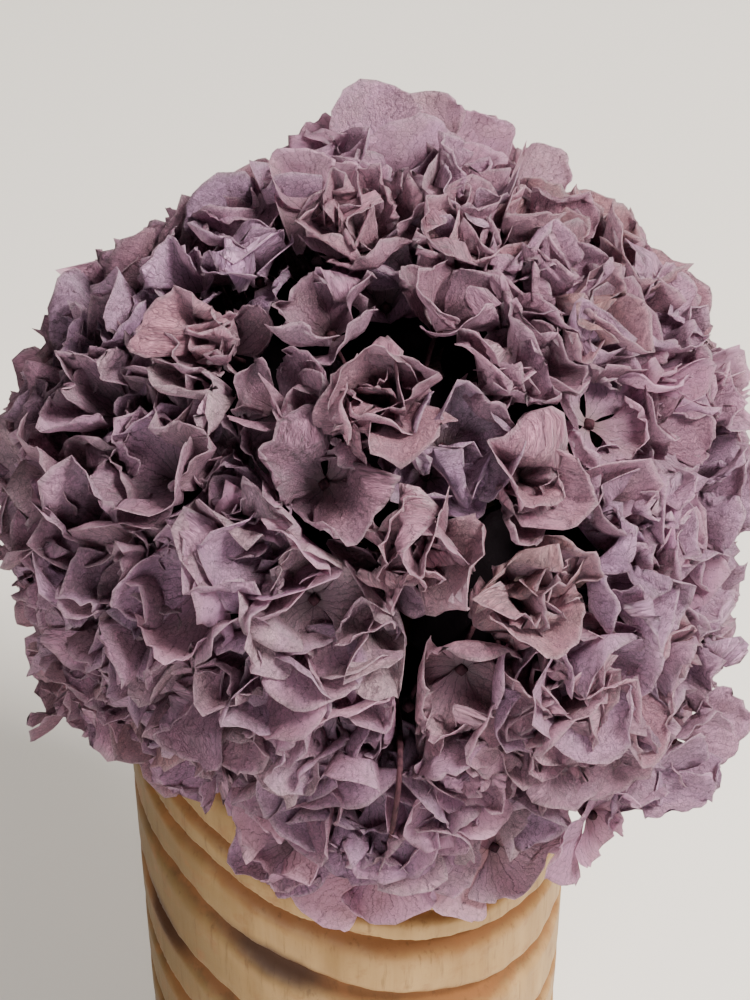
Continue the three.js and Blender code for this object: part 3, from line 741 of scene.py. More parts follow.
    def scorch(self, angle: Array, band: Array, share: Array) -> Array:
        """Near-black patches along some valleys: bells of angle, faded with the distance from the valley."""
        near = np.exp(-((np.minimum(share, 1 - share) / self.scorch_reach) ** 2))
        valley = band + (share > 0.5)
        bells = (
            (valley == number) * self.bell(angle, middle, width) for number, middle, width in self.SCORCHES
        )
        patches = sum(bells)
        return near * patches

    def rust(self, angle: Array, band: Array, share: Array) -> Array:
        """Orange-brown mottling below some valleys, as slow waves round the jar, and most at the front."""
        wide = np.exp(-((share / 0.35) ** 2)) + np.exp(-(((1 - share) / 0.2) ** 2))
        waves = 0.5 + 0.5 * np.sin(2.1 * angle + 2.7 * band) * np.sin(5.3 * angle + band)
        front = self.bell(angle, 0, 40) * np.isin(band, self.RUSTY_BANDS)
        return wide * np.clip(waves + front, 0, 1)

    def build(self, wood: bpy.types.Material) -> bpy.types.Object:
        """Makes the jar and puts it in the place of its plain solid."""
        points, faces, marks = self.mesh_parts()
        made = piece_of("jar_carved", points, faces, wood, marks=marks)
        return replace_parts(made, "jar")


# ---------------------------------------------------------------- where the florets stand


@dataclass(frozen=True)
class Viewpoint:
    """The place that the head is looked at from: a long lens, looking down at the head's centre."""

    focal_px: float = 2400
    middle_px: tuple = (375, 500)
    height_px: int = 1000
    pitch: float = math.radians(40)
    distance: float = 650

    @property
    def look(self) -> Array:
        """The direction of view."""
        return np.array([0, math.cos(self.pitch), -math.sin(self.pitch)])

    @property
    def up(self) -> Array:
        """The direction that is upwards in the picture."""
        return np.array([0, math.sin(self.pitch), math.cos(self.pitch)])

    def ray(self, px: tuple[float, float]) -> Array:
        """The direction from the eye through a pixel."""
        ray = self.look * self.focal_px + self.up * (self.middle_px[1] - px[1])
        ray[0] += px[0] - self.middle_px[0]
        return unit(ray)


class Tone(Enum):
    """Named colours of a floret: hue, light and age, each from 0 to 1."""

    MAUVE = (0.52, 0.52, 0.15)
    # A darker mauve; in the upper left and upper front cymes it also stands for painted shade.
    DEEP = (0.55, 0.34, 0.1)
    ROSY = (0.7, 0.56, 0.2)
    BROWN = (0.88, 0.5, 0.25)
    VIOLET = (0.22, 0.46, 0.0)
    LILAC = (0.36, 0.64, 0.15)
    PALE = (0.38, 1.0, 0.4)
    FADED = (0.5, 0.66, 0.6)
    # Faded, and pale with painted glow, as the crown's sepals look when lit through from behind.
    FADED_WITH_PAINTED_GLOW = (0.42, 1.0, 0.6)


FIRST_FILLER = 200  # the first number of the florets that fill the gaps


@dataclass
class Cyme:
    """A tuft of florets on one ray of the stem: its name, its axis and the planes that part it off."""

    name: str
    axis: Array
    planes: Array = field(default_factory=lambda: np.zeros((0, 3)))
    parted: Array = field(default_factory=lambda: np.zeros(0, bool))  # which planes have a wide cleft


@dataclass
class Floret:
    """One floret: its bud, the way it faces, its size, how open it is and its colour."""

    cyme: Cyme
    index: int
    size: float
    open: float
    hanging: bool
    bud: Array
    facing: Array
    spin: float
    tone: tuple
    room: list = field(default_factory=list)  # a point and a normal half-way to each neighbour
    whorls: int = 1
    least: float = -4.0  # how near its sepals may come to those half-way planes, or how far past them
    star: bool = False  # whether its sepals have narrow pale claws
    calm: float = 0.0  # how flat they lie, from 0 for ruffled and folded to 1

    @property
    def fine(self) -> bool:
        """Whether it is one of the large florets, and not one that fills a gap."""
        return self.index < FIRST_FILLER

    def spokes(self, angles: Array) -> Array:
        """Directions in the floret's own plane at angles from its first one."""
        side = unit(np.array([self.facing[1], -self.facing[0], 0.01]))
        other = unit(np.cross(self.facing, side))
        angles = np.asarray(angles)[..., None]
        return unit(side * np.cos(angles) + other * np.sin(angles))


@dataclass
class Head:
    """The ball of florets: where the cymes and their florets stand."""

    jar: Jar
    view: Viewpoint
    aside: float = 6.8
    above_rim: float = 55
    reach: float = 87
    sepals_reach: float = 98
    rim_gap: float = 3.5
    hanging_radius: float = 76
    lowest: float = math.radians(-36)
    lobe_angle: float = math.radians(32)
    lobe_drop: float = 0.1
    lobe_lean: float = 0.5
    widest_lobe: float = 1.2
    cleft: float = 10
    spacing: float = 29
    candidates: int = 132
    crowded: float = 0.62
    turns: int = 40
    free_give: float = 0.4
    shown_give: float = 0.02
    full_size: float = 0.8
    neck: float = 8
    heart_start: float = 40
    heart_middle: float = 18
    lift: float = 0.55
    main_size: float = 0.97
    main_near: float = 102
    flat_from: float = 0.6
    flat_calm: float = 0.75
    rosette_turned: float = 0.4
    filler_spots: int = 1400
    filler_count: int = 330
    filler_gap: float = 5.6
    filler_near: float = 45
    filler_size: tuple = (0.74, 0.34)
    filler_open: tuple = (0.15, 0.65)
    filler_sink: tuple = (-2, 8)
    filler_least: float = -5.0
    cup_clear: float = 5.5
    parting: float = 6.5
    gap_clear: float = 5.5
    cymes: list = field(default_factory=list)

    # The cymes: the pixel of each one's axis, or its azimuth from the front and its elevation in degrees
    CYMES = (
        ("crown", (392, 160), None),
        ("upper_left", (150, 250), None),
        ("upper_right", (612, 250), None),
        ("upper_front", (420, 425), None),
        ("left", (72, 490), None),
        ("right", (704, 480), None),
        ("front_left", (225, 655), None),
        ("front_right", (590, 670), None),
        ("upper_back", None, (178, 26)),
        ("back_left", None, (-128, 6)),
        ("back_right", None, (128, 4)),
        ("under_front", None, (6, -38)),
        ("under_left", None, (-68, -34)),
        ("under_right", None, (78, -34)),
        ("under_back_left", None, (-142, -36)),
        ("under_back_right", None, (148, -36)),
    )
    # Florets that stand out: the bud's pixel, the sepals' size, how open they are, the tone and the whorls
    SHOWN = (
        (372, 205, 1.05, 0.5, Tone.ROSY, 2),
        (405, 142, 1.25, 1.0, Tone.PALE, 1),
        (500, 190, 1.0, 0.6, Tone.LILAC, 1),
        (606, 224, 1.0, 0.7, Tone.BROWN, 2),
        (548, 268, 1.0, 0.4, Tone.MAUVE, 2),
        (140, 255, 1.0, 0.3, Tone.DEEP, 1),
        (205, 268, 0.95, 0.3, Tone.VIOLET, 1),
        (268, 240, 0.95, 0.3, Tone.VIOLET, 1),
        (73, 318, 0.75, 0.1, Tone.VIOLET, 1),
        (92, 388, 1.0, 0.6, Tone.MAUVE, 1),
        (188, 365, 1.0, 0.3, Tone.ROSY, 2),
        (264, 402, 0.9, 0.4, Tone.DEEP, 1),
        (352, 392, 1.15, 0.5, Tone.ROSY, 3),
        (452, 290, 0.95, 0.4, Tone.DEEP, 1),
        (490, 375, 1.0, 0.3, Tone.MAUVE, 2),
        (545, 462, 1.05, 0.5, Tone.ROSY, 3),
        (604, 384, 1.0, 0.9, Tone.PALE, 1),
        (668, 335, 1.0, 0.6, Tone.LILAC, 1),
        (680, 432, 1.0, 0.6, Tone.MAUVE, 1),
        (418, 545, 1.1, 0.25, Tone.ROSY, 3),
        (58, 490, 1.0, 0.4, Tone.MAUVE, 1),
        (160, 500, 1.0, 0.5, Tone.MAUVE, 1),
        (268, 492, 1.0, 0.5, Tone.DEEP, 1),
        (92, 612, 1.0, 0.6, Tone.LILAC, 1),
        (190, 596, 1.05, 0.8, Tone.PALE, 1),
        (292, 612, 1.1, 0.9, Tone.FADED, 1),
        (330, 748, 1.1, 0.95, Tone.PALE, 1),
        (196, 712, 1.0, 0.7, Tone.MAUVE, 1),
        (528, 597, 1.05, 0.5, Tone.BROWN, 2),
        (645, 560, 1.0, 0.5, Tone.VIOLET, 1),
        (626, 702, 1.1, 0.7, Tone.ROSY, 1),
        (488, 700, 1.05, 0.8, Tone.ROSY, 1),
        (712, 612, 1.0, 0.6, Tone.LILAC, 1),
        (560, 790, 1.0, 0.6, Tone.ROSY, 1),
        (378, 884, 1.15, 1.0, Tone.LILAC, 1),
        (490, 860, 1.1, 1.0, Tone.LILAC, 1),
    )
    STARS = (16, 28, 30, 34)  # those whose sepals have narrow pale claws
    # Florets beside the plain solids' own: the pixel, the size, how open, the tone, the distance from the
    # head's centre or None on the jar's wall, the share turned to the viewer, and the spin in degrees
    EXTRA = (
        ((380, 168), 0.92, 1.0, Tone.FADED_WITH_PAINTED_GLOW, 90, 0.8, 4),
        ((440, 174), 0.9, 1.0, Tone.FADED_WITH_PAINTED_GLOW, 88, 0.8, 14),
        ((508, 204), 0.74, 0.9, Tone.FADED_WITH_PAINTED_GLOW, 88, 0.7, 30),
        ((318, 216), 0.74, 0.9, Tone.FADED_WITH_PAINTED_GLOW, 88, 0.7, 40),
        ((636, 776), 0.85, 0.9, Tone.LILAC, 86, 0.3, 50),
        ((588, 812), 0.9, 1.0, Tone.PALE, 84, 0.3, 20),
        ((668, 736), 0.85, 0.8, Tone.LILAC, 88, 0.2, 10),
        ((604, 764), 0.85, 0.8, Tone.MAUVE, 84, 0.3, 70),
        ((384, 862), 1.1, 1.0, Tone.PALE, None, 0.0, 12),
        ((492, 846), 1.05, 0.9, Tone.PALE, None, 0.0, 20),
        ((296, 846), 0.8, 0.9, Tone.LILAC, None, 0.0, 30),
    )
    PARTED = {"front_left", "front_right"}  # the two cymes with a wide dark cleft between them
    LONG_STALK = (191, ((396, 822, 112), (412, 740, 124)))  # its floret, and two pixels with their reach
    FEW_HANG = (-80, 34)  # degrees from the front between which nothing small hangs over the rim
    # Pixels of dark gaps that stay free of the small florets
    GAPS = (
        (560, 520),
        (510, 535),
        (455, 570),
        (438, 640),
        (424, 720),
        (150, 338),
        (245, 344),
        (443, 296),
        (470, 340),
        (364, 520),
        (595, 441),
        (321, 272),
    )
    # Flatter places: the pixel of each one's middle, its share of the reach, and its width in degrees
    HOLLOWS = (
        ((175, 150), 0.09, 24),
        ((262, 120), 0.1, 20),
        ((80, 800), 0.1, 24),
        ((215, 830), 0.06, 16),
        ((690, 200), 0.04, 18),
    )
    HEART = ((0, 0), (6, 0), (21, 12), (24, 18), (15, 25), (0, 28))  # radius and height up the axis
    TONES = (
        Tone.MAUVE,
        Tone.DEEP,
        Tone.ROSY,
        Tone.MAUVE,
        Tone.LILAC,
        Tone.FADED,
        Tone.MAUVE,
        Tone.BROWN,
        Tone.ROSY,
        Tone.VIOLET,
    )
    # Each cyme's own tones. Besides the florets' own colours they paint shade and light: darker on the upper
    # left and upper front, which lie in shade, and paler on the right, the front left and under the front,
    # where the light falls.
    CYME_TONES_WITH_PAINTED_LIGHT = {
        "crown": (Tone.ROSY, Tone.MAUVE, Tone.LILAC, Tone.FADED, Tone.ROSY),
        "upper_left": (Tone.DEEP, Tone.VIOLET, Tone.DEEP, Tone.ROSY, Tone.VIOLET),
        "upper_right": (Tone.BROWN, Tone.MAUVE, Tone.LILAC, Tone.DEEP, Tone.ROSY),
        "upper_front": (Tone.DEEP, Tone.MAUVE, Tone.DEEP, Tone.ROSY, Tone.VIOLET),
        "left": (Tone.MAUVE, Tone.FADED, Tone.MAUVE, Tone.DEEP, Tone.LILAC),
        "right": (Tone.LILAC, Tone.PALE, Tone.PALE, Tone.MAUVE, Tone.LILAC),
        "front_left": (Tone.LILAC, Tone.FADED, Tone.PALE, Tone.LILAC, Tone.FADED),
        "front_right": (Tone.ROSY, Tone.BROWN, Tone.MAUVE, Tone.ROSY, Tone.LILAC),
        "under_front": (Tone.PALE, Tone.LILAC, Tone.PALE, Tone.LILAC, Tone.FADED),
    }

    def __post_init__(self) -> None:
        """Places the cymes, then the florets."""
        self.centre = np.array([self.aside, 0, self.jar.height + self.above_rim])
        self.hollows = [(self.at_pixel(px), depth, width) for px, depth, width in self.HOLLOWS]
        for name, px, angles in self.CYMES:
            axis = self.at_pixel(px) if px else self.towards(*np.radians(angles))
            self.cymes.append(Cyme(name, axis))
        self.axes = np.array([cyme.axis for cyme in self.cymes])
        for i, cyme in enumerate(self.cymes):
            cyme.planes = unit(cyme.axis - np.delete(self.axes, i, 0))
            others = [other.name for other in self.cymes if other is not cyme]
            cyme.parted = np.array([{cyme.name, name} == self.PARTED for name in others])
        self.florets = self.place()
        self.fillers = self.fill()

    @staticmethod
    def towards(azimuth: float, elevation: float) -> Array:
        """Direction for an azimuth from the front towards the right and an elevation, in radians."""
        level = math.cos(elevation)
        return np.array([level * math.sin(azimuth), -level * math.cos(azimuth), math.sin(elevation)])

    def hangs_at(self, direction: Array) -> bool:
        """Whether a floret in a direction from the head's centre hangs over the jar's rim."""
        return bool(self.centre[2] + self.reach * direction[2] < self.jar.height + self.neck)

    def reach_at(self, direction: Array) -> float:
        """How far from the head's centre a bud lies: on a ball, or outside the jar's rim.

        Args:
            direction: Direction from the head's centre.
        Returns:
            The distance, in millimetres.
        """
        if not self.hangs_at(direction):
            return self.reach
        level = math.hypot(direction[0], direction[1])
        along = self.centre[0] * direction[0] / level
        aside = self.centre[0] * direction[1] / level
        return max(self.reach, (math.sqrt(self.hanging_radius**2 - aside**2) - along) / level)

    def at_pixel(self, px: tuple[float, float]) -> Array:
        """Direction of the point of the head's surface that the photograph shows at a pixel."""
        ray = self.view.ray(px)
        eye = -self.view.distance * self.view.look
        reach = self.sepals_reach
        for _ in range(8):
            along = -eye @ ray
            missed = eye @ eye - along * along
            found = unit(eye + ray * (along - math.sqrt(max(reach * reach - missed, 0))))
            reach = self.reach_at(found) + self.sepals_reach - self.reach
        return found

    def hollow_at(self, direction: Array) -> float:
        """The share of the usual reach in a direction: 1, less a bell round each hollow."""
        share = 1.0
        for middle, depth, width in self.hollows:
            apart = math.degrees(math.acos(float(np.clip(direction @ middle, -1, 1))))
            share -= depth * math.exp(-((apart / width) ** 2))
        return share

    def seen_at(self, px: tuple[float, float], reach: float | None) -> Array:
        """The place shown at a pixel, on a ball round the head's centre or just outside the jar's wall.

        Args:
            px: The pixel.
            reach: The ball's radius, or None for the wall.
        Returns:
            The place. Where the line of sight misses the ball, it is the nearest point on that line.
        """
        ray = self.view.ray(px)
        eye = self.centre - self.view.distance * self.view.look
        middle, radius, axes = (np.zeros(3), self.hanging_radius - 2, [1, 1, 0])
        if reach is not None:
            middle, radius, axes = (self.centre, reach, [1, 1, 1])
        start, way = (eye - middle) * axes, ray * axes
        a, b, c = way @ way, start @ way, start @ start - radius * radius
        return eye + ray * (-b - math.sqrt(max(b * b - a * c, 0))) / a

    def cyme_of(self, direction: Array) -> Cyme:
        """The cyme whose axis is nearest to a direction."""
        return self.cymes[int(np.argmax(self.axes @ direction))]

    def clear_of_cleft(self, direction: Array) -> Array:
        """A direction moved off the planes that part its cyme from the next."""
        planes = self.cyme_of(direction).planes
        least = self.cleft / self.reach
        moved = direction
        for _ in range(3):
            if np.all(planes @ moved >= least):
                break
            for plane in planes:
                moved = unit(moved + plane * max(least - moved @ plane, 0))
        return moved

    def floret_at(self, direction: Array, size: float, open_: float, index: int, tone: tuple) -> Floret:
        """A floret in a direction: lower and leaning outwards towards its cyme's edge.

        Args:
            direction: Direction from the head's centre.
            size: The sepals' size beside the usual one.
            open_: How far they stay open, from 0 to 1.
            index: The floret's number, for its own draws.
            tone: Its hue, light and age.
        Returns:
            The floret.
        """
        cyme = self.cyme_of(direction)
        share = min(math.acos(min(direction @ cyme.axis, 1)) / self.lobe_angle, self.widest_lobe)
        outward = direction - cyme.axis * (direction @ cyme.axis)
        if outward @ outward > 1e-9:
            outward = unit(outward)
        hanging = self.hangs_at(direction)
        drop = 1 if hanging else 1 - self.lobe_drop * share * share
        bud = self.centre + direction * self.reach_at(direction) * drop
        facing = unit(direction + outward * self.lobe_lean * share)
        if hanging:
            level = math.hypot(direction[0], direction[1])
            facing = unit(np.array([direction[0], direction[1], self.lift * level]))
        else:
            bud = self.centre + (bud - self.centre) * self.hollow_at(direction)
        spin = 2 * math.pi * float(draw(index * 3 + 1))
        return Floret(cyme, index, size, open_, hanging, bud, facing, spin, tone)

    def settled(self, shown: Array, free: Array) -> Array:
        """Directions that have pushed each other apart until evenly spaced; the shown ones hardly move.

        Args:
            shown: Directions that the photograph shows.
            free: The others.
        Returns:
            All directions, the shown ones first.
        """
        wanted = self.spacing / self.reach
        floor = math.sin(self.lowest)
        everyone = np.concatenate([shown, free])
        for _ in range(self.turns):
            for i in range(len(everyone)):
                give = self.shown_give if i < len(shown) else self.free_give
                apart = everyone[i] - everyone
                gap = np.linalg.norm(apart, axis=1)
                near = (gap > 0) & (gap <= wanted)
                push = (apart[near] * (give * (wanted - gap[near]) / gap[near])[:, None]).sum(0)
                moved = self.clear_of_cleft(unit(everyone[i] + push))
                if i >= len(shown) and moved[2] < floor:
                    moved = unit(np.array([moved[0], moved[1], floor]))
                everyone[i] = moved
        return everyone

    def place(self) -> list[Floret]:
        """All florets: those shown, and others that fill the ball between them.

        Returns:
            The florets, with the walls that they keep inside of.
        """
        shown = np.array([self.clear_of_cleft(self.at_pixel(entry[:2])) for entry in self.SHOWN])
        free = []
        for i in range(self.candidates):
            elevation = math.asin(1 - (2 * i + 1) / self.candidates)
            if elevation < self.lowest:
                break
            direction = self.towards(i * (math.pi * GOLDEN_SHARE), elevation)
            nearest = np.linalg.norm(shown - direction, axis=1).min()
            if nearest > self.crowded * self.spacing / self.reach:
                free.append(direction)
        directions = self.settled(shown, np.array(free))
        florets = []
        for i, direction in enumerate(directions):
            if i < len(shown):
                size, open_, tone, whorls = self.SHOWN[i][2:]
            else:
                size, open_ = 0.94 + 0.14 * draw(i * 5 + 2), 0.3 + 0.5 * draw(i * 7 + 3)
                tone = self.tone_for(self.cyme_of(direction), i)
                whorls = 2 if draw(i * 19 + 8) > 0.55 else 1
            made = self.floret_at(direction, float(size), float(open_), i, tone.value)
            made.whorls = whorls
            made.star = i in self.STARS
            if i < len(shown):
                made.calm = self.flat_calm * max(open_ - self.flat_from, 0) / (1 - self.flat_from)
            if whorls > 2:
                made.facing = self.turned_to_viewer(made.facing, self.rosette_turned)
            florets.append(made)
        buds = np.array([floret.bud for floret in florets])
        for i, floret in enumerate(florets):
            others = np.delete(buds, i, 0)
            nearest = self.give_room(floret, others, self.main_near)
            floret.size *= self.main_size * min(nearest / (self.full_size * self.spacing), 1)
        return florets

    def tone_for(self, cyme: Cyme, index: int) -> Tone:
        """A floret's tone, drawn from its cyme's own tones."""
        choice = self.CYME_TONES_WITH_PAINTED_LIGHT.get(cyme.name, self.TONES)
        return choice[int(len(choice) * draw(index * 11 + 5))]

    def turned_to_viewer(self, facing: Array, share: float) -> Array:
        """A direction turned by a share of the way to the viewer."""
        return unit(facing * (1 - share) - self.view.look * share)

    @staticmethod
    def give_room(floret: Floret, others: Array, reach: float) -> float:
        """Notes the planes half-way from a floret to the buds near it.

        Args:
            floret: The floret.
            others: The other buds.
            reach: How far off a bud still counts.
        Returns:
            The distance to the nearest bud.
        """
        apart = floret.bud - others
        gap = np.linalg.norm(apart, axis=1)
        near = gap <= reach
        floret.room = list(zip(others[near] + apart[near] / 2, apart[near] / gap[near, None]))
        return float(gap.min())

    def extra(self, entry: tuple, index: int) -> Floret:
        """One of the florets that the plain solids don't have.

        Args:
            entry: Its line in the list above.
            index: Its number, for its own draws.
        Returns:
            The floret.
        """
        px, size, open_, tone, reach, turned, spin = entry
        bud = self.seen_at(px, reach)
        made = self.floret_at(unit(bud - self.centre), size, open_, index, tone.value)
        made.bud = bud
        made.hanging = bool(bud[2] < self.jar.height + self.neck)
        made.facing = self.turned_to_viewer(made.facing, turned)
        made.spin = math.radians(spin)
        made.calm = self.flat_calm
        return made

    def filler(self, direction: Array, index: int) -> Floret:
        """A small floret in a direction, sunk by its own draw.

        Args:
            direction: Direction from the head's centre.
            index: Its number, for its own draws.
        Returns:
            The floret.
        """
        chance = [float(draw(index * 5 + n * 23)) for n in range(3)]
        tone = self.tone_for(self.cyme_of(direction), index).value
        least_size, more_size = self.filler_size
        least_open, more_open = self.filler_open
        size, open_ = least_size + more_size * chance[0], least_open + more_open * chance[1]
        made = self.floret_at(direction, size, open_, index, tone)
        made.tone = (tone[0], tone[1] * 0.95, tone[2] * 0.8)
        made.bud = made.bud - made.facing * (self.filler_sink[1] * chance[2] + self.filler_sink[0])
        made.calm = 0.5 * float(draw(index * 17 + 3))
        made.least = self.filler_least
        return made

    def fill(self) -> list[Floret]:
        """Small florets deeper in the gaps: one by one, each where it is farthest from all the others.

        Returns:
            The florets that fill the gaps.
        """
        number = np.arange(self.filler_spots)
        height = 1 - (2 * number + 1) / self.filler_spots
        level = np.sqrt(1 - height**2)
        turn = number * math.pi * GOLDEN_SHARE
        spots = np.stack([level * np.sin(turn), -level * np.cos(turn), height], -1)
        spots = spots[height > math.sin(self.lowest) - 0.05]
        buds = np.array([floret.bud for floret in self.florets])
        taken = unit(buds - self.centre)
        nearest = np.linalg.norm(spots[:, None] - taken[None], axis=2).min(1) - self.cup_clear / self.reach
        for px in self.GAPS:
            apart = np.linalg.norm(spots - self.at_pixel(px), axis=1)
            nearest = np.minimum(nearest, apart - self.gap_clear / self.reach)
        found = [self.extra(entry, FIRST_FILLER - 1 - i) for i, entry in enumerate(self.EXTRA)]
        for made in found:
            apart = np.linalg.norm(spots - unit(made.bud - self.centre), axis=1)
            nearest = np.minimum(nearest, apart - self.cup_clear / self.reach)
        while len(found) < self.filler_count and nearest.max() > self.filler_gap / self.reach:
            best = spots[int(nearest.argmax())]
            nearest = np.minimum(nearest, np.linalg.norm(spots - best, axis=1))
            made = self.filler(best, FIRST_FILLER + len(found))
            azimuth = math.degrees(math.atan2(best[0], -best[1]))
            if made.hanging and self.FEW_HANG[0] < azimuth < self.FEW_HANG[1]:
                continue
            self.give_room(made, buds, self.filler_near)
            found.append(made)
        return found


# ---------------------------------------------------------------- florets

ROUND = 6.3  # about a full turn, in radians, by which a draw shifts a wave


class Draw(IntEnum):
    """What a sepal's own draws are for, each with its number in the row of draws."""

    RUFFLE_COUNT = 1
    RUFFLE = 2
    RUFFLE_START = 3
    FRILL = 4
    FRILL_START = 5
    CRUMPLE_START = 6
    CRUMPLE_SHIFT = 7
    SIDE = 8
    FLANK_FOLD = 9  # the fold's way, and after it its place, its angle and whether it goes up
    TIP_WAY = 13
    TIP_PLACE = 14
    TIP_ANGLE = 15
    TIP_UP = 16
    HUE = 21
    LIGHT = 22
    AGE = 23
    SEED = 24
    INNER_SIZE = 30
    INNER_SLOPE = 31
    SLOPE = 32
    TURN = 33
    CURL = 34
    KEEL = 35
    CUP = 36
    TWIST = 37
    OTHER_FLANK_FOLD = 40  # as the first one's


@dataclass
class SepalSheet:
    """The sheet of one sepal: a broad, bluntly pointed blade that curls, ruffles and creases as it dries."""

    length: float = 25.5
    half_width: float = 13.5
    slope: float = math.radians(24)
    rosette_slope: float = 0.28
    claw: float = 1.5
    star_claw: float = 2.1
    cup: float = 2.4
    along: int = 13
    across: int = 15
    crease: float = 2.2
    least_fold: float = 0.2
    fold_radius: float = 1.0
    thickness: float = 0.13

    def outline(self, claw: float) -> tuple[Array, Array, Array]:
        """The flat blade as shares of its length and half width, with more lines near its edge.

        Its half width grows with a power of the sine of the way along and narrows towards the end. The
        far edge falls back with the square of the distance from the midrib, with a small point on it.

        Args:
            claw: The power: the higher, the narrower the blade's root.
        Returns:
            Share of the length, share of the half width, and nearness to the edge, for every point.
        """
        u = np.linspace(0, 1, self.along) ** 0.9
        t = np.linspace(-1, 1, self.across)
        v = 0.55 * t + 0.45 * np.sin(0.5 * np.pi * t)
        u, v = np.meshgrid(u, v, indexing="ij")
        width = 0.08 + 0.92 * np.sin(0.5 * np.pi * np.minimum(u / 0.78, 1)) ** claw
        width *= 1 - 0.14 * eased(u, 0.7, 1.0)
        x = u * (1 - 0.27 * np.abs(v) ** 2.5 * u) + 0.05 * u**8 * np.exp(-((v / 0.22) ** 2))
        return x, v * width, np.maximum(np.abs(v), u) * eased(u, 0.05, 0.3)

    def folded(self, sheet: Array, way: Array, offset: Array, angle: Array) -> Array:
        """Sheets with the part beyond a line bent over on a small radius.

        With s the distance beyond the line, the part within radius * angle lies on the arc, and the
        rest goes on straight from its end. The sheet's own relief turns with it.

        Args:
            sheet: Points of every sheet, as (sheets, ..., 3): along, across and relief.
            way: Direction across each fold line, in the sheet's plane, as (sheets, 2).
            offset: Distance of each line from the sheet's root, in that direction.
            angle: How far each fold turns, in radians, up or down.
        Returns:
            The folded sheets.
        """
        radius = self.fold_radius
        shape = (-1, 1, 1)
        wx, wy = way[:, 0].reshape(shape), way[:, 1].reshape(shape)
        size, sign = np.abs(angle).reshape(shape), np.sign(angle).reshape(shape)
        s = sheet[..., 0] * wx + sheet[..., 1] * wy - offset.reshape(shape)
        turned = np.clip(s, 0, radius * size) / radius
        rest = np.maximum(s - radius * size, 0)
        s_new = np.where(s < 0, s, radius * np.sin(turned) + rest * np.cos(size))
        lift = np.where(s < 0, 0, radius * (1 - np.cos(turned)) + rest * np.sin(size))
        z = sheet[..., 2]
        shift = s_new - s - z * np.sin(turned) * sign
        relief = sign * lift + z * np.cos(turned)
        return np.stack([sheet[..., 0] + wx * shift, sheet[..., 1] + wy * shift, relief], -1)

    def curl_for(self, length: Array, room: Array, slope: Array, open_: float) -> Array:
        """The curl, in radians per mm, that lets sepals reach no further than the room they have.

        Args:
            length: Their lengths.
            room: The room for each.
            slope: Their slopes at the bud.
            open_: How far the floret stays open.
        Returns:
            The curl of each, found by halving the interval.
        """
        low = 0.15 / length * (1 + 2 * (1 - open_))
        high = 2.1 / length
        least = low.copy()

        def reach(curl: Array) -> Array:
            """How far along its own plane a curled sepal reaches."""
            return (np.sin(slope + curl * length) - np.sin(slope)) / curl

        loose = reach(low) <= room
        for _ in range(20):
            middle = (low + high) / 2
            far = reach(middle) > room
            low, high = np.where(far, middle, low), np.where(far, high, middle)
        return np.where(loose, least, high)


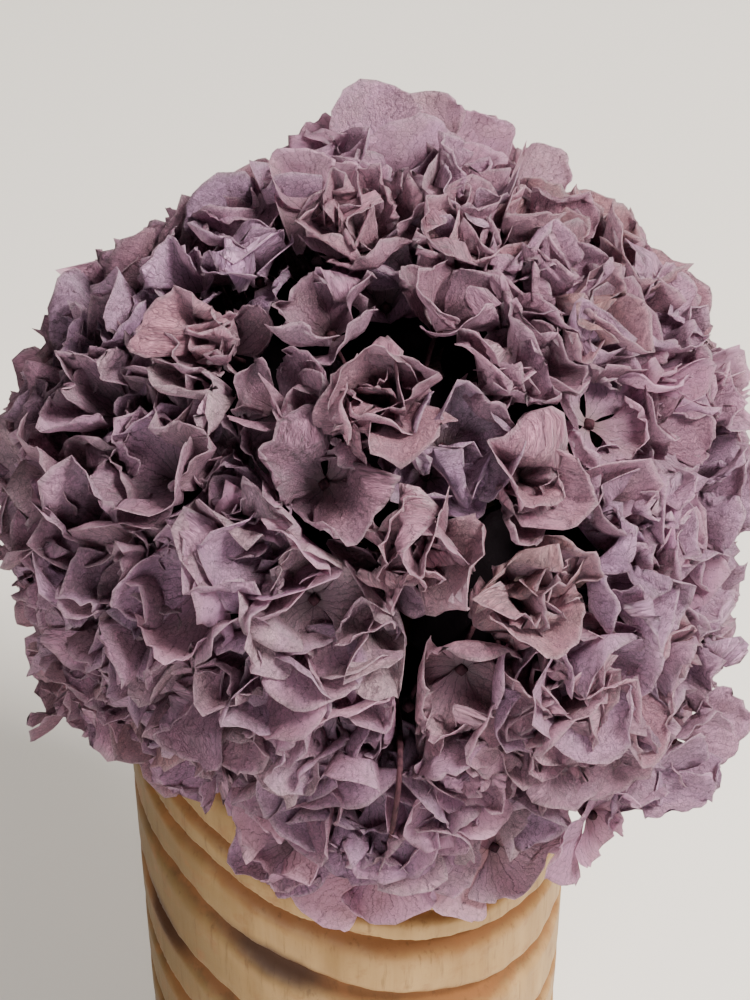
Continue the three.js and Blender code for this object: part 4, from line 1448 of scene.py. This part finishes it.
@dataclass
class Whorl:
    """One whorl of four sepals, with each one's own length, width, slope and way.

    Its number is 0 for the outer sepals, and more for the smaller and steeper ones inside them.
    """

    floret: Floret
    number: int
    form: SepalSheet

    def __post_init__(self) -> None:
        """Works out the four sepals' measures from the floret's and from their own draws."""
        floret, number, form = self.floret, self.number, self.form
        self.quarter = np.arange(4)
        self.inner = self.quarter % 2
        self.lively = 1 - floret.calm
        scale = 1.0 if number == 0 else 0.86 - 0.2 * number + 0.2 * self.chance(Draw.INNER_SIZE)
        upright = form.rosette_slope if floret.whorls > 2 else 0.0
        slope = form.slope * (1.4 - floret.open) + self.inner * 0.14
        slope = slope + number * (0.35 + 0.4 * self.chance(Draw.INNER_SLOPE)) + upright
        self.slope = slope + 0.75 * self.lively * (self.chance(Draw.SLOPE) - 0.45)
        turn = floret.spin + self.quarter * np.pi / 2 + number * np.pi / 4
        self.ways = floret.spokes(turn + (0.4 + 0.5 * number) * (self.chance(Draw.TURN) - 0.5))
        self.across = np.cross(floret.facing, self.ways)
        down = np.maximum(-self.ways[:, 2], 0) if floret.hanging else np.zeros(4)
        own = 0.92 + 0.16 * draw(floret.index * 13 + self.quarter)
        self.length = form.length * floret.size * own * scale * (1 - 0.5 * down)
        self.width = form.half_width * floret.size * (scale + 0.04 * self.inner + 0.1 * floret.calm)

    def chance(self, purpose: int) -> Array:
        """The draws for a purpose, one for each sepal."""
        return draw(self.floret.index * 31 + self.quarter * 7 + purpose * 101 + self.number * 57)

    def pick(self, purpose: int) -> Array:
        """The same draws, shaped to go with grids."""
        return self.chance(purpose)[:, None, None]

    def flat_blades(self) -> tuple[Array, Array, Array]:
        """The four blades laid flat, with a slightly ragged edge.

        Returns:
            Millimetres along and across, and nearness to the edge, for every point.
        """
        x, y, margin = self.form.outline(self.form.star_claw if self.floret.star else self.form.claw)
        number = np.arange(x.size).reshape(x.shape) + 211 * self.quarter[:, None, None]
        ragged = (draw(number + 37 * self.floret.index) - 0.5) * (margin > 0.97) * 0.6
        along = x[None] * self.length[:, None, None] + ragged
        return along, y[None] * self.width[:, None, None] + ragged * np.sign(y), margin

    def with_relief(self, x: Array, y: Array, margin: Array) -> Array:
        """Flat blades given their cup, ruffles, frills and crumples, and bent along their midribs.

        Ruffles and frills are sine waves of the angle round the blade, times powers of the nearness
        to its edge. Crumples are the product of two sine waves over the blade. The cup is a power of
        the share of the half width, and the two flanks rise from the midrib by the keel's angle.

        Args:
            x: Millimetres along the blade.
            y: Millimetres across it.
            margin: Nearness to its edge.
        Returns:
            The sheets' points: along, across and relief.
        """
        share = x / self.length[:, None, None]
        flank = np.abs(y) / self.width[:, None, None]
        around = np.arctan2(y, x - 0.45 * self.length[:, None, None])
        waves = 2 + np.floor(3 * self.pick(Draw.RUFFLE_COUNT))
        ruffle = (0.9 + 1.9 * self.lively * self.pick(Draw.RUFFLE)) * margin**3
        ruffle = ruffle * np.sin(waves * around + ROUND * self.pick(Draw.RUFFLE_START))
        fine = self.pick(Draw.FRILL)
        frill = (0.3 + 0.8 * fine) * margin**6
        frill = frill * np.sin((8 + 6 * fine) * around + ROUND * self.pick(Draw.FRILL_START))
        crumple = 0.8 * np.sin(0.34 * x + 0.2 * y + ROUND * self.pick(Draw.CRUMPLE_START))
        crumple = crumple * np.sin(0.36 * y - 0.12 * x + ROUND * self.pick(Draw.CRUMPLE_SHIFT)) * share
        keel = 1.15 * self.lively * self.pick(Draw.KEEL) ** 1.6 * eased(share, 0.0, 0.5)
        cup = self.form.cup * (0.3 + 0.9 * self.inner + 0.8 * self.chance(Draw.CUP))
        relief = cup[:, None, None] * flank**1.7 + ruffle + frill + crumple + np.abs(y) * np.sin(keel)
        return np.stack(np.broadcast_arrays(x, y * np.cos(keel), relief), -1)

    def creased(self, sheets: Array) -> Array:
        """Sheets folded over at both flanks and at the tip, each fold by its own draws.

        Args:
            sheets: Their points: along, across and relief.
        Returns:
            The folded sheets.
        """
        form = self.form
        crease = form.crease * self.lively
        side = np.where(self.chance(Draw.SIDE) > 0.5, 1.0, -1.0)
        for flip, first in ((1.0, Draw.FLANK_FOLD), (-1.0, Draw.OTHER_FLANK_FOLD)):
            way = unit(np.stack([0.1 + 0.7 * self.chance(first), side * flip], -1))
            offset = self.width * (0.35 + 0.5 * self.chance(first + 1)) + self.length * 0.6 * way[:, 0]
            angle = form.least_fold + crease * self.chance(first + 2) ** 1.5
            up = np.where(self.chance(first + 3) > 0.3, 1, -1)
            sheets = form.folded(sheets, way, offset, angle * up)
        way = unit(np.stack([np.ones(4), 1.1 * (self.chance(Draw.TIP_WAY) - 0.5)], -1))
        offset = self.length * (0.6 + 0.34 * self.chance(Draw.TIP_PLACE))
        angle = form.least_fold + crease * self.chance(Draw.TIP_ANGLE) ** 1.6
        up = np.where(self.chance(Draw.TIP_UP) > 0.35, 1, -1)
        return form.folded(sheets, way, offset, angle * up)

    def wound(self, sheets: Array, x: Array, curl: Array) -> Array:
        """Sheets twisted about their midribs and each wound onto an arc at the floret's own place.

        With angle = slope + curl * along, reach and rise are that arc's, and the relief stands
        square to it.

        Args:
            sheets: Their points: along, across and relief.
            x: Millimetres along the flat blade.
            curl: The curl of each sepal, in radians per mm.
        Returns:
            The points in the object's own frame.
        """
        floret = self.floret
        twist = (0.9 * (self.pick(Draw.TWIST) - 0.5)) * (x / self.length[:, None, None])
        along = sheets[..., 0]
        aside = sheets[..., 1] * np.cos(twist) - sheets[..., 2] * np.sin(twist)
        relief = sheets[..., 1] * np.sin(twist) + sheets[..., 2] * np.cos(twist)
        bend, start = curl[:, None, None], self.slope[:, None, None]
        angle = start + bend * along
        reach = (np.sin(angle) - np.sin(start)) / bend - relief * np.sin(angle)
        rise = (np.cos(start) - np.cos(angle)) / bend + relief * np.cos(angle)
        rise = rise + 0.5 * self.inner[:, None, None]
        ways, across = self.ways[:, None, None], self.across[:, None, None]
        points = floret.bud + reach[..., None] * ways + rise[..., None] * floret.facing
        return points + aside[..., None] * across + (1.2 * self.number) * floret.facing

    def tones(self, ones: Array) -> Array:
        """Hue, light, age and paleness of the claw for every point, each sepal's a little its own.

        Args:
            ones: Ones, in the shape of the sheets' grids.
        Returns:
            Four numbers for every point.
        """
        hue, light, age = self.floret.tone
        pale_claw = 1.0 if self.floret.star else 0.5 * float(draw(self.floret.index * 29 + 4)) ** 2
        parts = (
            hue + 0.16 * (self.pick(Draw.HUE) - 0.5),
            light + 0.5 * (self.pick(Draw.LIGHT) - 0.5),
            np.clip(age + 0.5 * (self.pick(Draw.AGE) - 0.5), 0, 1),
            pale_claw,
        )
        return np.stack([ones * part for part in parts], -1)


@dataclass
class Florets:
    """Builds the sepals, buds and stalks of a cyme's florets."""

    head: Head
    sheet: SepalSheet
    small: SepalSheet
    softness: float = 4.0
    cleft_least: float = 1.2
    cleft_crossed: float = 6.5
    wall_gap: float = 1.6
    rim_gap: float = 1.2
    presses: int = 4
    more_room: float = 3.0
    filler_more_room: float = 6.0
    stalk_sides: int = 6
    stalk_steps: int = 10
    bud_radius: float = 1.5
    bud_height: float = 1.7
    bud_rows: int = 6
    bud_columns: int = 8
    heart_rows: int = 16
    heart_columns: int = 28

    def room_towards(self, floret: Floret, ways: Array) -> Array:
        """Room from a floret's bud in each direction, up to half-way to its neighbours."""
        room = np.full(len(ways), 2 * self.sheet.length)
        for on, normal in floret.room:
            lean = -ways @ normal
            gap = (floret.bud - on) @ normal
            room = np.where(lean > 0.05, np.minimum(room, gap / np.maximum(lean, 0.05)), room)
        return room

    def kept_clear(self, points: Array, floret: Floret) -> Array:
        """Points pressed softly inside the floret's walls, and kept clear of the jar.

        Within the softness of a wall, a point's distance from it shrinks as an exponential. Where
        several walls meet, the points are then pressed inside each in turn, a few times.

        Args:
            points: Points of the floret's sheets.
            floret: The floret.
        Returns:
            The moved points.
        """
        walls = [(on, normal, floret.least) for on, normal in floret.room]
        apart = float(draw(floret.index * 43 + 6))
        cleft = self.cleft_least - self.cleft_crossed * apart
        for normal, parted in zip(floret.cyme.planes, floret.cyme.parted):
            walls.append((self.head.centre, normal, self.head.parting * apart if parted else cleft))
        kept = points.copy()
        for on, normal, least in walls:
            gap = (points - on) @ normal
            soft = least + self.softness * np.exp((gap - least - self.softness) / self.softness) - gap
            kept += np.where(gap >= least + self.softness, 0, soft)[..., None] * normal
        jar = self.head.jar
        for _ in range(self.presses):
            for on, normal, least in walls:
                kept += np.maximum(least - (kept - on) @ normal, 0)[..., None] * normal
            if floret.hanging:
                radius = np.hypot(kept[..., 0], kept[..., 1])
                kept[..., :2] *= np.maximum((jar.radius + self.wall_gap) / radius, 1)[..., None]
            else:
                kept[..., 2] = np.maximum(kept[..., 2], jar.height + self.rim_gap)
        return kept

    def sepals(self, floret: Floret, number: int) -> dict[str, Array]:
        """The four sepals of one whorl of a floret.

        Args:
            floret: The floret.
            number: The whorl's number, 0 for the outer one.
        Returns:
            Points, places on the flat sheet, tones, nearness to the edge and seeds, by name.
        """
        whorl = Whorl(floret, number, self.sheet if floret.fine else self.small)
        room = self.room_towards(floret, whorl.ways) * (1.0 - 0.2 * number)
        room = room + (self.more_room if floret.fine else self.filler_more_room)
        curl = whorl.form.curl_for(whorl.length, room, whorl.slope, floret.open)
        curl = curl * (0.8 + 0.4 * whorl.chance(Draw.CURL)) * (1 - 0.5 * floret.calm)
        x, y, margin = whorl.flat_blades()
        sheets = whorl.creased(whorl.with_relief(x, y, margin))
        points = self.kept_clear(whorl.wound(sheets, x, curl), floret)
        ones = np.ones(points.shape[:3])
        return {
            "points": points.reshape(-1, 3),
            "flat": np.stack([0.5 + y / SEPAL_WIDTH_MM, x / SEPAL_WIDTH_MM], -1).reshape(-1, 2),
            "tone": whorl.tones(ones).reshape(-1, 4),
            "margin": (ones * margin).ravel(),
            "seed": (ones * whorl.pick(Draw.SEED)).ravel(),
        }

    def build_sepals(self, cyme: Cyme, florets: list[Floret], paper: bpy.types.Material) -> bpy.types.Object:
        """All sepals of a cyme as one piece of thin closed sheets, in the place of its plain solid.

        Args:
            cyme: The cyme.
            florets: Its florets and those that fill its gaps.
            paper: The sepals' finish.
        Returns:
            The piece.
        """
        whorls = [(floret, number) for floret in florets for number in range(floret.whorls)]
        parts = [self.sepals(floret, number) for floret, number in whorls]
        quads = []
        start = 0
        for floret, _ in whorls:
            form = self.sheet if floret.fine else self.small
            quads.append(sheet_quads(form.along, form.across, 4)[:, ::-1] + start)
            start += 4 * form.along * form.across
        whole = {kind: np.concatenate([part[kind] for part in parts]) for kind in parts[0]}
        marks = {mark: whole[mark] for mark in ("tone", "margin", "seed")}
        name = f"cyme_{cyme.name}_sepals"
        faces = [np.concatenate(quads)]
        piece = piece_of(name, whole["points"], faces, paper, whole["flat"], marks)
        wall = piece.modifiers.new("paper", "SOLIDIFY")
        wall.thickness = self.sheet.thickness * MM
        wall.offset = 0
        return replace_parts(piece, f"cyme_{cyme.name}")

    def stalk_stops(self, floret: Floret) -> Array:
        """Four stops of a stalk's path, from the bud down to the heart of its cyme.

        Most stalks leave the bud against its facing. Those of florets that hang bend over the rim, and
        the long one passes through the two places shown in the cleft.

        Args:
            floret: The floret.
        Returns:
            The four stops.
        """
        head = self.head
        heart = head.centre + floret.cyme.axis * (head.heart_start + head.heart_middle * 0.6)
        below = floret.bud - floret.facing * 12
        index, seen = head.LONG_STALK
        if floret.index == index:
            low, high = (head.seen_at((x, y), reach) for x, y, reach in seen)
            return np.array([floret.bud, low, high, heart])
        if floret.hanging:
            outside = (head.jar.radius + head.rim_gap) / math.hypot(floret.bud[0], floret.bud[1])
            over = head.jar.height + head.rim_gap + 2
            bend = np.array([floret.bud[0] * outside, floret.bud[1] * outside, over])
            return np.array([floret.bud, bend - [0, 0, 4], bend + [0, 0, 8], heart])
        return np.array([floret.bud, below, heart + floret.cyme.axis * 8, heart])

    def heart(self, cyme: Cyme) -> tuple[Array, list[Array]]:
        """A lumpy dome in the middle of a cyme, where its stalks part, flat at the clefts: it is painted
        near black as the shade deep among the stalks.

        Its radius along the axis follows the profile's points, times 1 plus small waves round it.

        Args:
            cyme: The cyme.
        Returns:
            The points and the faces.
        """
        head = self.head
        profile = np.array(head.HEART)
        rows, columns = self.heart_rows, self.heart_columns
        place = np.linspace(0.02, 0.98, rows)
        stops = np.linspace(0, 1, len(profile))
        radius = np.interp(place, stops, profile[:, 0])[:, None]
        height = np.interp(place, stops, profile[:, 1])[:, None]
        turn = np.linspace(0, 2 * np.pi, columns, endpoint=False)[None]
        lumps = 1 + 0.07 * np.sin(5 * turn + 9 * height) + 0.05 * np.sin(11 * turn + 0.4 * height)
        radius = radius * lumps
        side = unit(np.cross(cyme.axis, [0.0, 0.0, 1.0]))
        other = np.cross(cyme.axis, side)
        spokes = np.cos(turn)[..., None] * side + np.sin(turn)[..., None] * other
        points = radius[..., None] * spokes + (head.heart_start + height)[..., None] * cyme.axis
        for plane in (*cyme.planes, *cyme.planes):
            points = points + np.maximum(0.6 - points @ plane, 0)[..., None] * plane
        points = points + head.centre
        points[..., 2] = np.maximum(points[..., 2], head.jar.height + 0.9)
        ring = np.arange(columns)
        caps = [ring[None, ::-1], (rows - 1) * columns + ring[None]]
        return points.reshape(-1, 3), [sheet_quads(rows, columns, closed=True), *caps]

    def build_stalks(self, cyme: Cyme, florets: list[Floret], skin: bpy.types.Material) -> bpy.types.Object:
        """All stalks and buds of a cyme as one piece.

        A bud is a small bead of four lobes: its rings' radius is the sine of the way from its tip,
        times 1 plus about a tenth of the cosine of four times the angle round it.

        Args:
            cyme: The cyme.
            florets: Its florets and those that fill its gaps.
            skin: The stalks' finish.
        Returns:
            The piece.
        """
        stops = np.array([self.stalk_stops(floret) for floret in florets])
        taper = np.linspace(0.55, 1.0, self.stalk_steps)
        points, faces = tubes(through(stops, self.stalk_steps), taper[None], self.stalk_sides)
        rows, columns = self.bud_rows, self.bud_columns
        polar = np.linspace(0.25, math.pi - 0.5, rows)[:, None]
        round_ = np.linspace(0, 2 * np.pi, columns, endpoint=False)[None]
        wide = self.bud_radius * np.sin(polar) * (1 + 0.12 * np.cos(4 * round_))
        tall = self.bud_height * np.cos(polar) + 1.2 + 0 * round_
        buds = []
        for floret in florets:
            side, other = floret.spokes(np.array([0, np.pi / 2]))
            ring = (wide * np.cos(round_))[..., None] * side
            ring = ring + (wide * np.sin(round_))[..., None] * other
            buds.append(floret.bud + ring + tall[..., None] * floret.facing)
        dome, dome_faces = self.heart(cyme)
        faces += [group + len(points) for group in dome_faces]
        # Painted shade: the heart's dome is marked to be near black.
        deep = np.concatenate([np.zeros(len(points)), np.ones(len(dome))])
        points = np.concatenate([points, dome])
        start = len(points)
        beads = sheet_quads(rows, columns, len(florets), closed=True)[:, ::-1] + start
        starts = start + (np.arange(len(florets)) * rows * columns)[:, None]
        tip = starts + np.arange(columns)
        root = starts + (rows - 1) * columns + np.arange(columns)[::-1]
        points = np.concatenate([points, np.array(buds).reshape(-1, 3)])
        marks = {"deep": np.concatenate([deep, np.zeros(len(points) - start)])}
        faces += [beads, tip, root]
        return piece_of(f"cyme_{cyme.name}_stalks", points, faces, skin, marks=marks)


# ---------------------------------------------------------------- stem


@dataclass
class Stem:
    """The cut stem with its knots, and the rays that arch from its fork to each cyme."""

    head: Head
    radius: float = 4.2
    foot: tuple = (-12, 9, 12.3)
    fork_depth: float = 66
    knots: tuple = (0.3, 0.7)
    knot_size: float = 0.22
    steps: int = 70
    sides: int = 18
    ray_radius: float = 1.6
    ray_steps: int = 18
    ray_sides: int = 9

    def build(self, bark: bpy.types.Material) -> bpy.types.Object:
        """Makes the stem: a tube with knots and fine ridges along it, and a thinner tube for each ray.

        A knot is a bell of the share of the stem's length, added to its thickness.

        Args:
            bark: Its finish.
        Returns:
            The piece, in the place of its plain solid.
        """
        head = self.head
        fork = head.centre - [0, 0, self.fork_depth]
        foot = np.array(self.foot, float)
        bend = foot + [0, 0, 0.6 * (fork[2] - foot[2])]
        stops = np.array([[foot, foot + (bend - foot) * 2 / 3, fork + (bend - fork) * 2 / 3, fork]])
        share = np.linspace(0, 1, self.steps)
        knots = sum(self.knot_size * np.exp(-(((share - at) / 0.03) ** 2)) for at in self.knots)
        thick = self.radius * (1 - 0.12 * share + knots + 0.015 * np.sin(60 * share))
        points, faces = tubes(through(stops, self.steps), thick[None], self.sides)
        rays = []
        for cyme in head.cymes:
            end = head.centre + cyme.axis * (head.heart_start + 6)
            before = head.centre + cyme.axis * (head.heart_start - 18)
            rays.append([fork - [0, 0, 2], fork + [0, 0, 20], before, end])
        taper = self.ray_radius * (1.35 - 0.35 * np.linspace(0, 1, self.ray_steps))
        more, more_faces = tubes(through(np.array(rays), self.ray_steps), taper[None], self.ray_sides)
        faces += [group + len(points) for group in more_faces]
        made = piece_of("stem_bark", np.concatenate([points, more]), faces, bark)
        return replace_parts(made, "stem")


# ---------------------------------------------------------------- the set


@dataclass
class Studio:
    """A plain pale floor, soft light from the upper right, and the camera."""

    view: Viewpoint
    head: Head
    floor_colour: tuple = (226, 219, 208)
    floor_reach: float = 3000.0
    sky: tuple = (0.86, 0.87, 0.9, 1)
    sky_strength: float = 0.18

    # The lamps: name, place in metres, watts, side in metres and linear colour.
    LAMPS = (
        ("key", (0.75, -0.35, 1.3), 60, 0.5, (1.0, 0.97, 0.94)),
        ("back", (0.2, 1.1, 1.0), 16, 1.0, (1.0, 0.98, 0.96)),
        ("fill", (-0.2, -1.4, 0.4), 17, 0.8, (0.97, 0.97, 1.0)),
    )

    def floor(self) -> None:
        """A large level floor at the jar's foot."""
        span = self.floor_reach
        corners = np.array([[-span, -span, 0], [span, -span, 0], [span, span, 0], [-span, span, 0]])
        shop = Workshop("pale_floor")
        sockets = {"Base Color": pigment(*self.floor_colour), "Roughness": 0.9}
        material = shop.finish(shop.node("ShaderNodeBsdfPrincipled", None, sockets))
        mesh = bpy.data.meshes.new("floor")
        mesh.from_pydata((corners * MM).tolist(), [], [(0, 1, 2, 3)])
        mesh.materials.append(material)
        made = bpy.data.objects.new("floor", mesh)
        bpy.context.scene.collection.objects.link(made)

    def lamp(self, name: str, place: tuple, watts: float, size: float, colour: tuple) -> None:
        """A soft square lamp that looks at the head.

        Args:
            name: Its name.
            place: Where it stands, in metres.
            watts: Its power.
            size: Its side, in metres.
            colour: Its linear colour.
        """
        light = bpy.data.lights.new(name, "AREA")
        light.energy, light.size, light.color = watts, size, colour
        made = bpy.data.objects.new(name, light)
        made.location = place
        aim = Vector(self.head.centre * MM) - made.location
        made.rotation_euler = aim.to_track_quat("-Z", "Y").to_euler()
        bpy.context.scene.collection.objects.link(made)

    def build(self) -> None:
        """Sets up the floor, the lamps, the soft surroundings and the camera."""
        self.floor()
        for lamp in self.LAMPS:
            self.lamp(*lamp)
        world = bpy.data.worlds.new("surroundings")
        world.use_nodes = True
        sockets = world.node_tree.nodes["Background"].inputs
        sockets["Color"].default_value = self.sky
        sockets["Strength"].default_value = self.sky_strength
        bpy.context.scene.world = world
        camera = bpy.data.cameras.new("camera")
        camera.sensor_width = 36
        camera.lens = 36 * self.view.focal_px / self.view.height_px
        made = bpy.data.objects.new("camera", camera)
        look = Vector(self.view.look)
        made.location = Vector(self.head.centre * MM) - look * self.view.distance * MM
        made.rotation_euler = look.to_track_quat("-Z", "Y").to_euler()
        bpy.context.scene.collection.objects.link(made)
        bpy.context.scene.camera = made


def main() -> None:
    """Builds the jar, the stem and every cyme, then the set round them."""
    logging.basicConfig(level=logging.INFO, format="%(message)s")
    jar = Jar()
    view = Viewpoint()
    head = Head(jar, view)
    studio = Studio(view, head)
    studio.build()
    log.info("jar: %d faces", len(jar.build(WoodFinish().material()).data.polygons))
    bark = BarkFinish("dry_stem", dark=(52, 38, 32), light=(104, 82, 66), scale=260).material()
    log.info("stem: %d faces", len(Stem(head).build(bark).data.polygons))
    paper = SepalFinish().material()
    skin = BarkFinish("stalk_skin", dark=(32, 18, 24), light=(74, 46, 52), scale=700).material()
    maker = Florets(head, SepalSheet(), SepalSheet(along=8, across=9, crease=1.0))
    for cyme in head.cymes:
        own = [floret for floret in head.florets + head.fillers if floret.cyme is cyme]
        sepals = maker.build_sepals(cyme, own, paper)
        maker.build_stalks(cyme, own, skin)
        log.info("%s: %d florets, %d faces", cyme.name, len(own), len(sepals.data.polygons))


if __name__ == "__main__":
    main()
